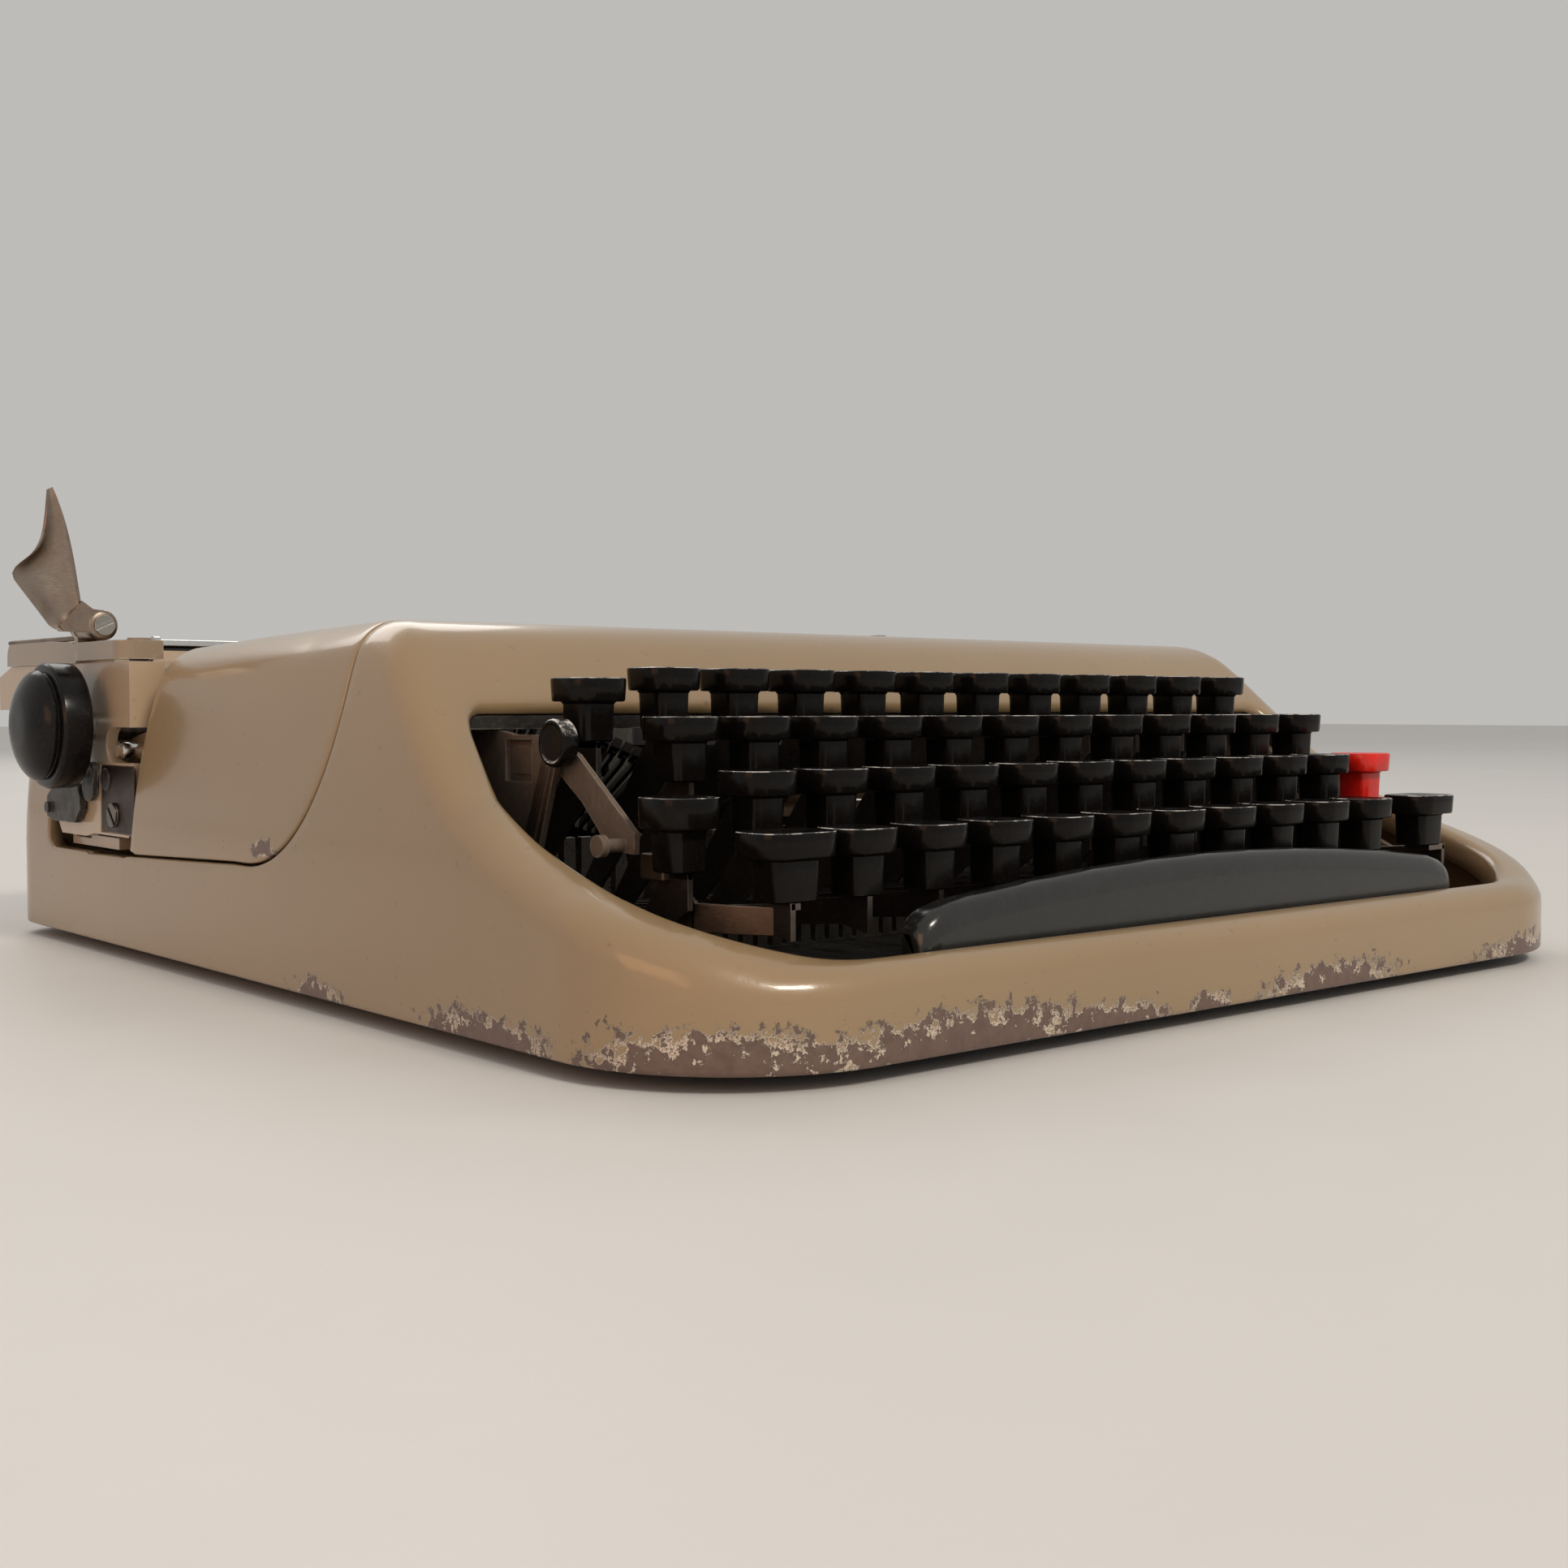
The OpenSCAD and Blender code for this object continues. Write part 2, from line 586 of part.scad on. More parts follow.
module paper_table() color(cream) place() slab(0, 274) polygon(concat(
    [[288.5, 61]], bez([288.5, 70], [288.5, 77], [294, 80], [302, 80], 4),
    bez([318, 80], [328, 79.6], [336, 77], [reach_y, 71.4], 4), [[reach_y, 66.4], [336.6, 66.4]],
    bez([336.6, 71], [334, 76], [327, 78.2], [318, 78.6], 4),
    bez([302, 78.6], [296, 78.6], [290, 76], [290, 70], 4), [[290, 61]]));

module margin_rail() color(steel) place() box(-144.4, 144.4, 318, 321, 64, 70);
module margin_stop(x) difference() {
    union() {
        box(x - 4, x + 4, 314, 325, 62, 72);
        box(x - 1, x + 1, 324, 335, 61.5, 66);
        box(x - 4, x + 4, 333.5, 335, 61.5, 66);
    }
    box(x - 10, x + 10, 317.95, 321.05, 63.95, 70.05);
}
module margin_stop_left() color(steel) place() margin_stop(-88);
module margin_stop_right() color(steel) place() margin_stop(88);

module platen() color("#1C1B1B") place() difference() {
    rod_x(0, platen_l, platen_yz[0], platen_yz[1], platen_r, 96);
    rod_x(0, platen_l + 4, platen_yz[0], platen_yz[1], shaft_r, 64);
}

ratchet_x = -135.5;
module platen_shaft() color(steel) place() {
    rod_x(0, 318, platen_yz[0], platen_yz[1], shaft_r, 64);
    slab(ratchet_x, 2.4) translate(platen_yz) difference() {
        union() {
            circle(r = 10, $fn = 64);
            for (a = [0:12:359]) rotate(a) polygon([[9.5, -0.9], [11.4, 0.2], [11.4, 0.8], [9.5, 1]]);
        }
        circle(r = shaft_r - 0.5, $fn = 64);
    }
}

// Knob turned about the platen's axis: a thick rear disc and a domed face
module knob(s) translate([s * 152.3, platen_yz[0], platen_yz[1]]) rotate([0, s * 90, 0])
    rotate_extrude($fn = 96) difference() {
        polygon(concat([[0, 0], [knob_r - 0.8, 0], [knob_r, 0.8], [knob_r, 7.2], [knob_r - 0.8, 8],
            [knob_r - 2.6, 8.2]], bez([knob_r - 2, 9.6], [knob_r - 2.4, 12.2], [9, 14.4], [0, 14.4], 6)));
        translate([0, -1]) square([shaft_r, 8]);
    }
module knob_left() color("#22262B") place() knob(-1);
module knob_right() color("#22262B") place() difference() {
    knob(1);
    rod_x(164.7, 8.8, platen_yz[0], platen_yz[1], 5.05, 48);
}
module platen_release_button() color("#22262B") place() {
    rod_x(166.3, 5.4, platen_yz[0], platen_yz[1], 5, 48);
    rod_x(169, 2, platen_yz[0], platen_yz[1], 4.2, 48);
}

feed_yz = [268.5, 35.8];
module feed_roller() color("#1C1B1B") place() {
    for (x = [-96:64:96]) rod_x(x, 34, feed_yz[0], feed_yz[1], 5.5, 48);
    rod_x(0, 286, feed_yz[0], feed_yz[1], 2, 32);
}

module paper_bail() color("#D0CFCB") place() {
    rod_x(0, 267.2, bail_rod[0], bail_rod[1], 1.5, 32);
    for (s = [-1, 1]) {
        slab(s * 132.8, 1.6) hull() {
            translate(bail_pivot) circle(r = 2.3, $fn = 24);
            translate(bail_rod) circle(r = 2.3, $fn = 24);
        }
        rod_x(s * 131.2, 3.6, bail_pivot[0], bail_pivot[1], 1.5, 32);
    }
}
module bail_rollers() color("#1C1B1B") place() for (x = [-58, 58]) difference() {
    rod_x(x, 14, bail_rod[0], bail_rod[1], bail_roller_r, 64);
    rod_x(x, 16, bail_rod[0], bail_rod[1], 1.55, 32);
}

// Arm on top of the left end, with the ears that hold the return lever
module lever_hub() color(cream) place() difference() {
    union() {
        translate([0, 0, 73.6]) linear_extrude(4.8) polygon(concat(
            arc(-144.6, 241.2, 5, 5, 180, 270, 6), [[-138.4, 236.2], [-138.4, 251], [-144.6, 253],
            [-144.6, 268.6], [-149.6, 268.6]]));
        translate([0, 268.6, 0]) rotate([90, 0, 0]) linear_extrude(2.6) {
            translate(lever_pin) circle(r = 4, $fn = 48);
            translate([lever_pin[0] - 2.6, 78]) square([5, 4]);
        }
        translate([swing_xy[0], swing_xy[1], 70.4]) cylinder(h = 8.6, r = 2.5, $fn = 32);
        translate([swing_xy[0], swing_xy[1], 78]) cylinder(h = 1.2, r = 3, $fn = 32);
    }
    translate([lever_pin[0], 240, lever_pin[1]]) rotate([-90, 0, 0]) cylinder(h = 40, r = 1.55, $fn = 32);
}

blade_y = 256.2;
// Cylinder along Y on the axis of the return lever's pin
module on_pin(y, h, r) translate([lever_pin[0], y, lever_pin[1]]) rotate([-90, 0, 0])
    cylinder(h = h, r = r, $fn = 32);
module return_lever() color("#A59A90") place() {
    on_pin(254.2, 11.4, 4);
    translate([0, blade_y + 2, 0]) rotate([90, 0, 0]) linear_extrude(4) polygon(concat(
        [[-147, 86.5], [-151.9, 87.5]],
        bez([-152.4, 90], [-153.6, 98], [-154.6, 108], [-158.6, 118], 5),
        bez([-160, 117.6], [-161.4, 108], [-161, 102], [-169, 97], 5),
        [[-170, 94.6], [-160.5, 81.6], [-157.5, 81], [-147, 80.9]]));
    on_pin(265, 4.6, 1.5);
    on_pin(253.2, 1.2, 2.6);
}

module line_space_selector() color(dark) place() {
    rod_x(-146.6, 4.2, selector_yz[0], selector_yz[1], 2, 32);
    slab(-148.6, 1.4) hull() {
        translate(selector_yz) circle(r = 4, $fn = 32);
        translate(selector_pin) circle(r = 2.4, $fn = 32);
    }
    rod_x(-149.8, 1.6, selector_pin[0], selector_pin[1], 1.6, 24);
}

module paper_release_lever() color(steel) place() {
    slab(135.8, 1.6) polygon([[279, 62], [278, 66], [272, 68], [262, 86], [258.5, 85], [267, 66],
        [274, 61.5]]);
    rod_x(140.8, 11, paper_pin[0], paper_pin[1], 2, 32);
    box(134.4, 137.4, 257.6, 262.8, 85, 87.4);
}

module carriage_release_lever() color(dark) place() {
    rod_x(0, 302, release_yz[0], release_yz[1], 1.5, 32);
    for (s = [-1, 1]) slab(s * 149, 1.8) polygon([[291, 31.5], [291, 37], [284, 41], [268, 41],
        [266, 38], [266, 34], [270, 30.5], [286, 30.5]]);
}

body_shell();
ribbon_cover();
base_plate();
rubber_feet();
base_screws();
side_frame_left();
side_frame_right();
front_cross_bar();
key_comb();
fulcrum_rod();
carriage_rail();
type_segment();
typebars();
single_typebar();
type_guide();
ribbon_vibrator();
spool_cups();
spool_left();
spool_right();
ribbon();
bell();
escapement_wheel();
mainspring_drum();
ribbon_selector();
keys_row_1();
keys_row_2();
keys_row_3();
keys_row_4();
levers_row_1();
levers_row_2();
levers_row_3();
levers_row_4();
single_key();
single_lever();
shift_key_left();
shift_key_right();
shift_lock_key();
red_key();
margin_release_key();
space_bar();
carriage_frame();
carriage_cap_left();
carriage_cap_right();
paper_table();
margin_rail();
margin_stop_left();
margin_stop_right();
platen();
platen_shaft();
knob_left();
knob_right();
platen_release_button();
feed_roller();
paper_bail();
bail_rollers();
lever_hub();
return_lever();
line_space_selector();
paper_release_lever();
carriage_release_lever();
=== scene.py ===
import json
import math

import bmesh
import bpy
import numpy as np
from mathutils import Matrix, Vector


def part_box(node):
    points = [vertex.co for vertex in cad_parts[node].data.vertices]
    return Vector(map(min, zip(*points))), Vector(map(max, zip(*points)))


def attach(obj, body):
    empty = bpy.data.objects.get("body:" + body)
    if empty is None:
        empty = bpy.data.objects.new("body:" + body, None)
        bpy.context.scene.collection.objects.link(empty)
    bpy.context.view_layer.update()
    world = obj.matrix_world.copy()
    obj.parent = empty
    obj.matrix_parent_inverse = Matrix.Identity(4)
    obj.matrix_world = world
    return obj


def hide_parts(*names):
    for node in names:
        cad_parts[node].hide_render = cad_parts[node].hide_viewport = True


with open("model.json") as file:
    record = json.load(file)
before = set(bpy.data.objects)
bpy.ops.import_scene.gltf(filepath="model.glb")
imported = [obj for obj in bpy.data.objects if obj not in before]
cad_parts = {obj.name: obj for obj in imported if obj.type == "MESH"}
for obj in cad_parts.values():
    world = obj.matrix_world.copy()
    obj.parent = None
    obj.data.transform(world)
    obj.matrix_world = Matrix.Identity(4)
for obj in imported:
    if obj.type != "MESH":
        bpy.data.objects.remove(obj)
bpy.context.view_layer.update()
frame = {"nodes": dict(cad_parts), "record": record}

# Shapes are written in millimetres: x from the middle, y from the body's front edge and z from its
# lower edge. metres() carries them to the frame.
MM = 0.001
shell_low, shell_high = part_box("body_shell")
ORIGIN = np.array([0.0, shell_low.y, shell_low.z])
HALF_W = shell_high.x / MM
DEPTH = (shell_high.y - shell_low.y) / MM


def metres(points):
    return np.asarray(points, float) * MM + ORIGIN


def span(node):
    """Lowest and highest corner of a CAD node, in the millimetres that shapes are written in."""
    low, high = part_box(node)
    return (np.array(low) - ORIGIN) / MM, (np.array(high) - ORIGIN) / MM


# ---------- Camera, light and floor ----------

def add_camera():
    heading, dip = math.radians(40.49), math.radians(2.39)
    data = bpy.data.cameras.new("camera")
    data.lens, data.sensor_width, data.clip_start = 42.0, 36.0, 0.01
    camera = bpy.data.objects.new("camera", data)
    bpy.context.scene.collection.objects.link(camera)
    camera.location = (-0.32246, -0.39316, 0.06421)
    camera.rotation_euler = (math.pi / 2 - dip, 0, -heading)
    bpy.context.scene.camera = camera


def add_light(name, place, aim, size, power, color):
    data = bpy.data.lights.new(name, "AREA")
    data.shape, data.size, data.size_y = "RECTANGLE", size[0], size[1]
    data.energy, data.color = power, color
    light = bpy.data.objects.new(name, data)
    bpy.context.scene.collection.objects.link(light)
    light.location = place
    light.rotation_euler = (Vector(aim) - Vector(place)).to_track_quat("-Z", "Y").to_euler()


def add_studio():
    world = bpy.data.worlds.new("studio")
    world.use_nodes = True
    background = world.node_tree.nodes["Background"]
    background.inputs["Color"].default_value = (0.86, 0.84, 0.81, 1)
    background.inputs["Strength"].default_value = 0.60
    bpy.context.scene.world = world
    middle = (0, 0, 0.05)
    add_light("key_light", (-0.1, -1.5, 1.4), middle, (0.5, 0.35), 17, (1.0, 0.93, 0.82))
    add_light("warm_light", (-1.6, -0.5, 0.5), middle, (1.0, 0.6), 3.5, (1.0, 0.45, 0.20))
    add_light("back_light", (0.3, 1.6, 1.3), middle, (1.6, 0.8), 9, (1.0, 0.97, 0.92))
    bpy.context.scene.view_settings.view_transform = "Standard"


# ---------- Node materials ----------

class Finish:
    """A procedural material round one Principled shader; its patterns use the piece's own coordinates."""

    def __init__(self, name, **values):
        self.material = bpy.data.materials.new(name)
        self.material.use_nodes = True
        self.tree = self.material.node_tree
        self.shader = self.tree.nodes["Principled BSDF"]
        self.place = self.node("ShaderNodeTexCoord").outputs["Object"]
        for key, value in values.items():
            self.set(key.replace("_", " ").title(), value)

    def set(self, socket, value):
        target = self.shader.inputs[socket.replace("Ior", "IOR")]
        if isinstance(value, bpy.types.NodeSocket):
            self.tree.links.new(value, target)
        else:
            target.default_value = (*value, 1) if isinstance(value, tuple) and len(value) == 3 else value

    def node(self, kind, inputs=(), **settings):
        node = self.tree.nodes.new(kind)
        for key, value in settings.items():
            setattr(node, key, value)
        for key, value in dict(inputs).items():
            if isinstance(value, bpy.types.NodeSocket):
                self.tree.links.new(value, node.inputs[key])
            else:
                node.inputs[key].default_value = value
        return node

    def noise(self, scale, detail=3.0, rough=0.55, stretch=None):
        place = self.place
        if stretch:
            place = self.vector("MULTIPLY", place, stretch).outputs[0]
        inputs = {"Vector": place, "Scale": scale, "Detail": detail, "Roughness": rough}
        return self.node("ShaderNodeTexNoise", inputs).outputs["Fac"]

    def math(self, operation, a, b=0.0):
        return self.node("ShaderNodeMath", {0: a, 1: b}, operation=operation).outputs[0]

    def vector(self, operation, a, b=(0.0, 0.0, 0.0)):
        return self.node("ShaderNodeVectorMath", {0: a, 1: b}, operation=operation)

    def fade(self, value, low, high, to_low=0.0, to_high=1.0):
        """value carried from low..high to to_low..to_high, and held beyond"""
        inputs = {"Value": value, "From Min": low, "From Max": high}
        inputs.update({"To Min": to_low, "To Max": to_high})
        return self.node("ShaderNodeMapRange", inputs, clamp=True).outputs["Result"]

    def mix(self, share, a, b):
        node = self.node("ShaderNodeMix", data_type="RGBA")
        for key, value in ((0, share), (6, a), (7, b)):
            if isinstance(value, bpy.types.NodeSocket):
                self.tree.links.new(value, node.inputs[key])
            else:
                node.inputs[key].default_value = (*value, 1) if isinstance(value, tuple) else value
        return node.outputs[2]

    def bump(self, height, depth):
        """depth is in millimetres"""
        inputs = {"Height": height, "Strength": 1.0, "Distance": depth * MM}
        self.set("Normal", self.node("ShaderNodeBump", inputs).outputs["Normal"])

    def edges(self, radius):
        """1 on edges that are sharper than the radius in millimetres, 0 on flat faces"""
        soft = self.node("ShaderNodeBevel", {"Radius": radius * MM}, samples=6).outputs["Normal"]
        true = self.node("ShaderNodeNewGeometry").outputs["Normal"]
        return self.fade(self.vector("DOT_PRODUCT", soft, true).outputs["Value"], 0.96, 0.8)


def shades(color, factor):
    return tuple(c * factor for c in color)


# Places where the paint is knocked off, along the lower edge and by the cover's seam: middle and reach
CHIPS = [
    ((-HALF_W, 130, 0), (8, 13, 4.6)), ((-HALF_W, 63, 0), (8, 27, 6.4)),
    ((-138, 11, 0), (36, 26, 9.0)), ((-90, 0, 0), (48, 9, 8.6)), ((-50, 0, 0), (22, 8, 5.6)),
    ((-17, 0, 0), (8, 7, 4.4)), ((26, 0, 0), (30, 8, 6.4)), ((112, 4, 0), (28, 12, 6.4)),
    ((140, 14, 0), (12, 16, 5.0)), ((HALF_W, 90, 0), (8, 30, 4.0)), ((70, DEPTH, 0), (40, 8, 4.6)),
    ((-HALF_W, 156, 30.2), (4, 6.4, 2.4)),
]


def paint(name, color, worn):
    """Satin stove enamel with fine orange peel, faint dirt and knocked edges."""
    f = Finish(name, roughness=0.32, coat_weight=0.6, coat_roughness=0.10)
    broad = f.noise(9.0, 4.0)
    streaks = f.noise(60.0, 4.0, 0.6, stretch=(1.0, 1.0, 0.22))
    tint = f.mix(f.fade(broad, 0.3, 0.7), shades(color, 0.93), shades(color, 1.05))
    dirt = f.math("MULTIPLY", f.fade(streaks, 0.58, 0.78), 0.30)
    tint = f.mix(dirt, tint, (0.24, 0.184, 0.12))
    specks = f.fade(f.noise(420.0, 2.0), 0.70, 0.76, 0.0, 0.45)
    tint = f.mix(specks, tint, (0.13, 0.09, 0.06))
    depth = f.noise(900.0, 2.0)
    if worn:
        ragged = f.math("MULTIPLY", f.math("SUBTRACT", f.noise(330.0, 6.0, 0.75), 0.5), 2.4)
        reach = None
        for middle, size in CHIPS:
            away = f.vector("SUBTRACT", f.place, tuple(metres(middle))).outputs[0]
            away = f.vector("DIVIDE", away, tuple(s * MM for s in size)).outputs[0]
            near = f.math("SUBTRACT", 1.0, f.vector("LENGTH", away).outputs["Value"])
            reach = near if reach is None else f.math("MAXIMUM", reach, near)
        reach = f.math("ADD", reach, ragged)
        primer = f.fade(reach, 0.10, 0.16)
        bare = f.fade(f.math("ADD", reach, f.math("MULTIPLY", ragged, 0.5)), 0.24, 0.34)
        metal = f.mix(f.noise(500.0, 4.0), (0.070, 0.036, 0.024), (0.19, 0.112, 0.084))
        tint = f.mix(primer, tint, f.mix(f.noise(800.0, 3.0), (0.74, 0.62, 0.50), (0.50, 0.38, 0.28)))
        tint = f.mix(bare, tint, metal)
        f.set("Roughness", f.fade(primer, 0.0, 1.0, 0.30, 0.62))
        peel = f.math("MULTIPLY", depth, 0.12)
        flakes = f.math("MULTIPLY", f.math("SUBTRACT", primer, bare), f.noise(700.0, 4.0))
        depth = f.math("SUBTRACT", f.math("ADD", peel, flakes), bare)
        f.bump(depth, 0.22)
    else:
        rub = f.math("MULTIPLY", f.edges(0.9), f.fade(f.noise(240.0, 5.0, 0.7), 0.40, 0.56))
        patches = f.fade(f.noise(75.0, 6.0, 0.75, stretch=(1.0, 1.0, 0.6)), 0.60, 0.66, 0.0, 0.8)
        wear = f.math("MAXIMUM", rub, patches)
        tint = f.mix(wear, tint, f.mix(f.noise(300.0, 3.0), (0.62, 0.55, 0.47), (0.26, 0.19, 0.14)))
        f.set("Roughness", f.fade(wear, 0.0, 1.0, 0.33, 0.5))
        f.bump(f.math("SUBTRACT", f.math("MULTIPLY", depth, 0.2), wear), 0.06)
    f.set("Base Color", tint)
    return f.material


def metal(name, color, rough, stain, stain_share=0.5, edge_shine=True):
    """Bare or plated steel: brushed grain, stains and brighter edges."""
    f = Finish(name, metallic=1.0)
    grain = f.noise(700.0, 3.0, 0.6, stretch=(1.0, 1.0, 12.0))
    patches = f.noise(70.0, 5.0, 0.65)
    tint = f.mix(f.fade(grain, 0.3, 0.7), shades(color, 0.82), shades(color, 1.1))
    tint = f.mix(f.fade(patches, 0.45, 0.68, 0.0, stain_share), tint, stain)
    if edge_shine:
        tint = f.mix(f.math("MULTIPLY", f.edges(0.5), 0.7), tint, shades(color, 1.7))
    f.set("Base Color", tint)
    f.set("Roughness", f.fade(f.math("ADD", grain, patches), 0.7, 1.3, rough * 0.75, rough * 1.4))
    f.bump(grain, 0.02)
    return f.material


def plastic(name, color, rough, dust, shine=0.5, edge=None, rim=None):
    """Moulded plastic: faint moulding texture, handling marks, dust, worn edges and a painted highlight on
    upper rims.
    """
    f = Finish(name, specular_ior_level=shine)
    marks = f.noise(160.0, 5.0, 0.7)
    dusty = f.fade(f.noise(900.0, 4.0, 0.7), 0.52, 0.80, 0.0, dust)
    tint = f.mix(f.fade(marks, 0.35, 0.7), color, shades(color, 1.35))
    tint = f.mix(dusty, tint, (0.30, 0.25, 0.21))
    if edge:
        wear_and_glint_flecks = f.fade(f.noise(300.0, 4.0), 0.35, 0.6)
        tint = f.mix(f.math("MULTIPLY", f.edges(0.8), wear_and_glint_flecks), tint, edge)
    # rim is the colour of a painted highlight: light flecks along the upward-facing rims, where the tops
    # catch the lamp
    if rim:
        facing = f.node("ShaderNodeNewGeometry").outputs["Normal"]
        up = f.node("ShaderNodeSeparateXYZ", {0: facing}).outputs["Z"]
        band = f.math("MULTIPLY", f.fade(up, 0.25, 0.6), f.fade(up, 0.985, 0.95))
        wear_and_glint_flecks = f.fade(f.noise(260.0, 4.0, 0.65), 0.47, 0.58, 0.04, 0.9)
        tint = f.mix(f.math("MULTIPLY", band, wear_and_glint_flecks), tint, rim)
    f.set("Base Color", tint)
    f.set("Roughness", f.fade(marks, 0.3, 0.75, rough * 0.7, rough * 1.6))
    f.bump(f.math("ADD", f.noise(1400.0, 2.0), f.math("MULTIPLY", marks, 0.5)), 0.015)
    return f.material


def rubber(name):
    """Dull black rubber, greyer where paper has worn it."""
    f = Finish(name, ior=1.45)
    grain = f.noise(1500.0, 3.0)
    wear = f.fade(f.noise(120.0, 4.0, 0.6, stretch=(0.25, 1.0, 1.0)), 0.42, 0.72)
    f.set("Base Color", f.mix(wear, (0.020, 0.019, 0.019), (0.045, 0.043, 0.041)))
    f.set("Roughness", f.fade(wear, 0.0, 1.0, 0.55, 0.78))
    f.bump(grain, 0.03)
    return f.material


def inked_cloth(name):
    """Woven ribbon soaked in ink."""
    f = Finish(name, roughness=0.85, sheen_weight=0.2)
    threads = {"Vector": f.place, "Scale": 900.0, "Distortion": 0.4}
    weave = f.node("ShaderNodeTexWave", threads)
    cross = f.node("ShaderNodeTexWave", threads, bands_direction="Z")
    height = f.math("MAXIMUM", weave.outputs["Fac"], cross.outputs["Fac"])
    f.set("Base Color", f.mix(f.noise(90.0), (0.010, 0.009, 0.010), (0.032, 0.029, 0.032)))
    f.bump(height, 0.05)
    return f.material


def floor_finish():
    f = Finish("studio_floor")
    f.set("Base Color", f.mix(f.noise(3.0), (0.66, 0.645, 0.625), (0.72, 0.705, 0.685)))
    f.set("Roughness", f.fade(f.noise(30.0), 0.3, 0.7, 0.5, 0.62))
    f.bump(f.noise(260.0), 0.05)
    return f.material


BEIGE = (0.315, 0.213, 0.112)
CREAM = (0.480, 0.350, 0.230)
PAINTS = {
    "paint": {"color": BEIGE, "worn": True},
    "carriage_paint": {"color": CREAM, "worn": False},
    # The caps' paint is the carriage paint darkened to 0.62: painted shade on the carriage caps and the
    # lever hub
    "shaded_cap_paint": {"color": shades(CREAM, 0.62), "worn": False},
}
# Colour, roughness and colour of the stains
METALS = {
    "frame_steel": ((0.15, 0.115, 0.09), 0.45, (0.07, 0.045, 0.03)),
    "steel": ((0.42, 0.40, 0.37), 0.30, (0.16, 0.12, 0.09)),
    "lever_steel": ((0.19, 0.165, 0.145), 0.34, (0.06, 0.045, 0.035)),
    "bell_brass": ((0.60, 0.46, 0.22), 0.24, (0.30, 0.20, 0.09)),
    "tan_steel": ((0.235, 0.180, 0.140), 0.42, (0.10, 0.070, 0.052)),
    "brown_steel": ((0.085, 0.060, 0.052), 0.42, (0.045, 0.030, 0.026)),
    "chrome": ((0.72, 0.71, 0.69), 0.10, (0.45, 0.40, 0.34), 0.25, False),
    "lever_metal": ((0.33, 0.265, 0.215), 0.34, (0.13, 0.085, 0.065), 0.5, False),
    "dark_steel": ((0.060, 0.050, 0.043), 0.40, (0.03, 0.022, 0.018), 0.5, False),
}
# Colour, roughness and dust
PLASTICS = {
    "black_lacquer": ((0.022, 0.020, 0.019), 0.42, 0.25, {"edge": (0.20, 0.17, 0.14)}),
    "brown_lacquer": ((0.105, 0.075, 0.054), 0.55, 0.3, {"edge": (0.26, 0.21, 0.17)}),
    # key_plastic's rim colour is a painted highlight on the keys' upper rims
    "key_plastic": ((0.0050, 0.0042, 0.0037), 0.15, 0.02, {"shine": 0.13, "rim": (0.80, 0.77, 0.72)}),
    "red_plastic": ((0.62, 0.012, 0.006), 0.20, 0.03, {}),
    "knob_plastic": ((0.0050, 0.0045, 0.0045), 0.20, 0.04, {"shine": 0.22, "edge": (0.035, 0.03, 0.028)}),
    "bar_plastic": ((0.0120, 0.0128, 0.0122), 0.17, 0.05, {"shine": 0.6}),
}
MATERIALS = {"rubber": rubber("rubber"), "ribbon_cloth": inked_cloth("ribbon_cloth")}
MATERIALS.update({name: paint(name, **values) for name, values in PAINTS.items()})
MATERIALS.update({name: metal(name, *values) for name, values in METALS.items()})
MATERIALS.update({name: plastic(name, *values[:3], **values[3]) for name, values in PLASTICS.items()})


# ---------- Mesh building ----------

def bezier(a, b, c, d, n=12):
    t = np.linspace(0, 1, n + 1)[:, None]
    a, b, c, d = (np.array(p, float) for p in (a, b, c, d))
    return (1 - t) ** 3 * a + 3 * (1 - t) ** 2 * t * b + 3 * (1 - t) * t ** 2 * c + t ** 3 * d


def add_piece(name, shape, material, body, replaces=(), sharp=38, bevel=0.0, closed=True):
    """Makes a mesh object from (points, faces) in millimetres and rides it on a body."""
    points, faces = shape
    mesh = bpy.data.meshes.new(name)
    mesh.from_pydata(metres(points).tolist(), [], [tuple(int(i) for i in f) for f in faces])
    if closed:
        shell = bmesh.new()
        shell.from_mesh(mesh)
        bmesh.ops.remove_doubles(shell, verts=shell.verts, dist=1e-6)
        bmesh.ops.recalc_face_normals(shell, faces=shell.faces)
        shell.to_mesh(mesh)
        shell.free()
    mesh.materials.append(MATERIALS[material])
    mesh.shade_smooth()
    mesh.set_sharp_from_angle(angle=math.radians(sharp))
    piece = bpy.data.objects.new(name, mesh)
    bpy.context.scene.collection.objects.link(piece)
    if bevel:
        soften(piece, bevel)
    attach(piece, body)
    if replaces:
        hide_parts(*replaces)
    return piece


def soften(piece, width, angle=34):
    """Rounds a piece's sharp edges by a width in millimetres."""
    bevel = piece.modifiers.new("edge", "BEVEL")
    bevel.width, bevel.segments, bevel.limit_method = width * MM, 2, "ANGLE"
    bevel.angle_limit, bevel.harden_normals = math.radians(angle), True


def join(*shapes):
    points, faces, start = [], [], 0
    for p, f in shapes:
        points.append(np.asarray(p, float))
        faces += [tuple(i + start for i in face) for face in f]
        start += len(p)
    return np.vstack(points), faces


def loft(rings, caps=(True, True), closed=True):
    """Skins a list of rings that have equally many points."""
    n, m = len(rings), len(rings[0])
    faces = []
    for i in range(n - 1):
        for j in range(m if closed else m - 1):
            k = (j + 1) % m
            faces.append((i * m + j, i * m + k, (i + 1) * m + k, (i + 1) * m + j))
    if caps[0]:
        faces.append(tuple(range(m))[::-1])
    if caps[1]:
        faces.append(tuple(range((n - 1) * m, n * m)))
    return np.vstack(rings), faces


AXES = {"x": (1, 2, 0), "y": (0, 2, 1), "z": (0, 1, 2)}


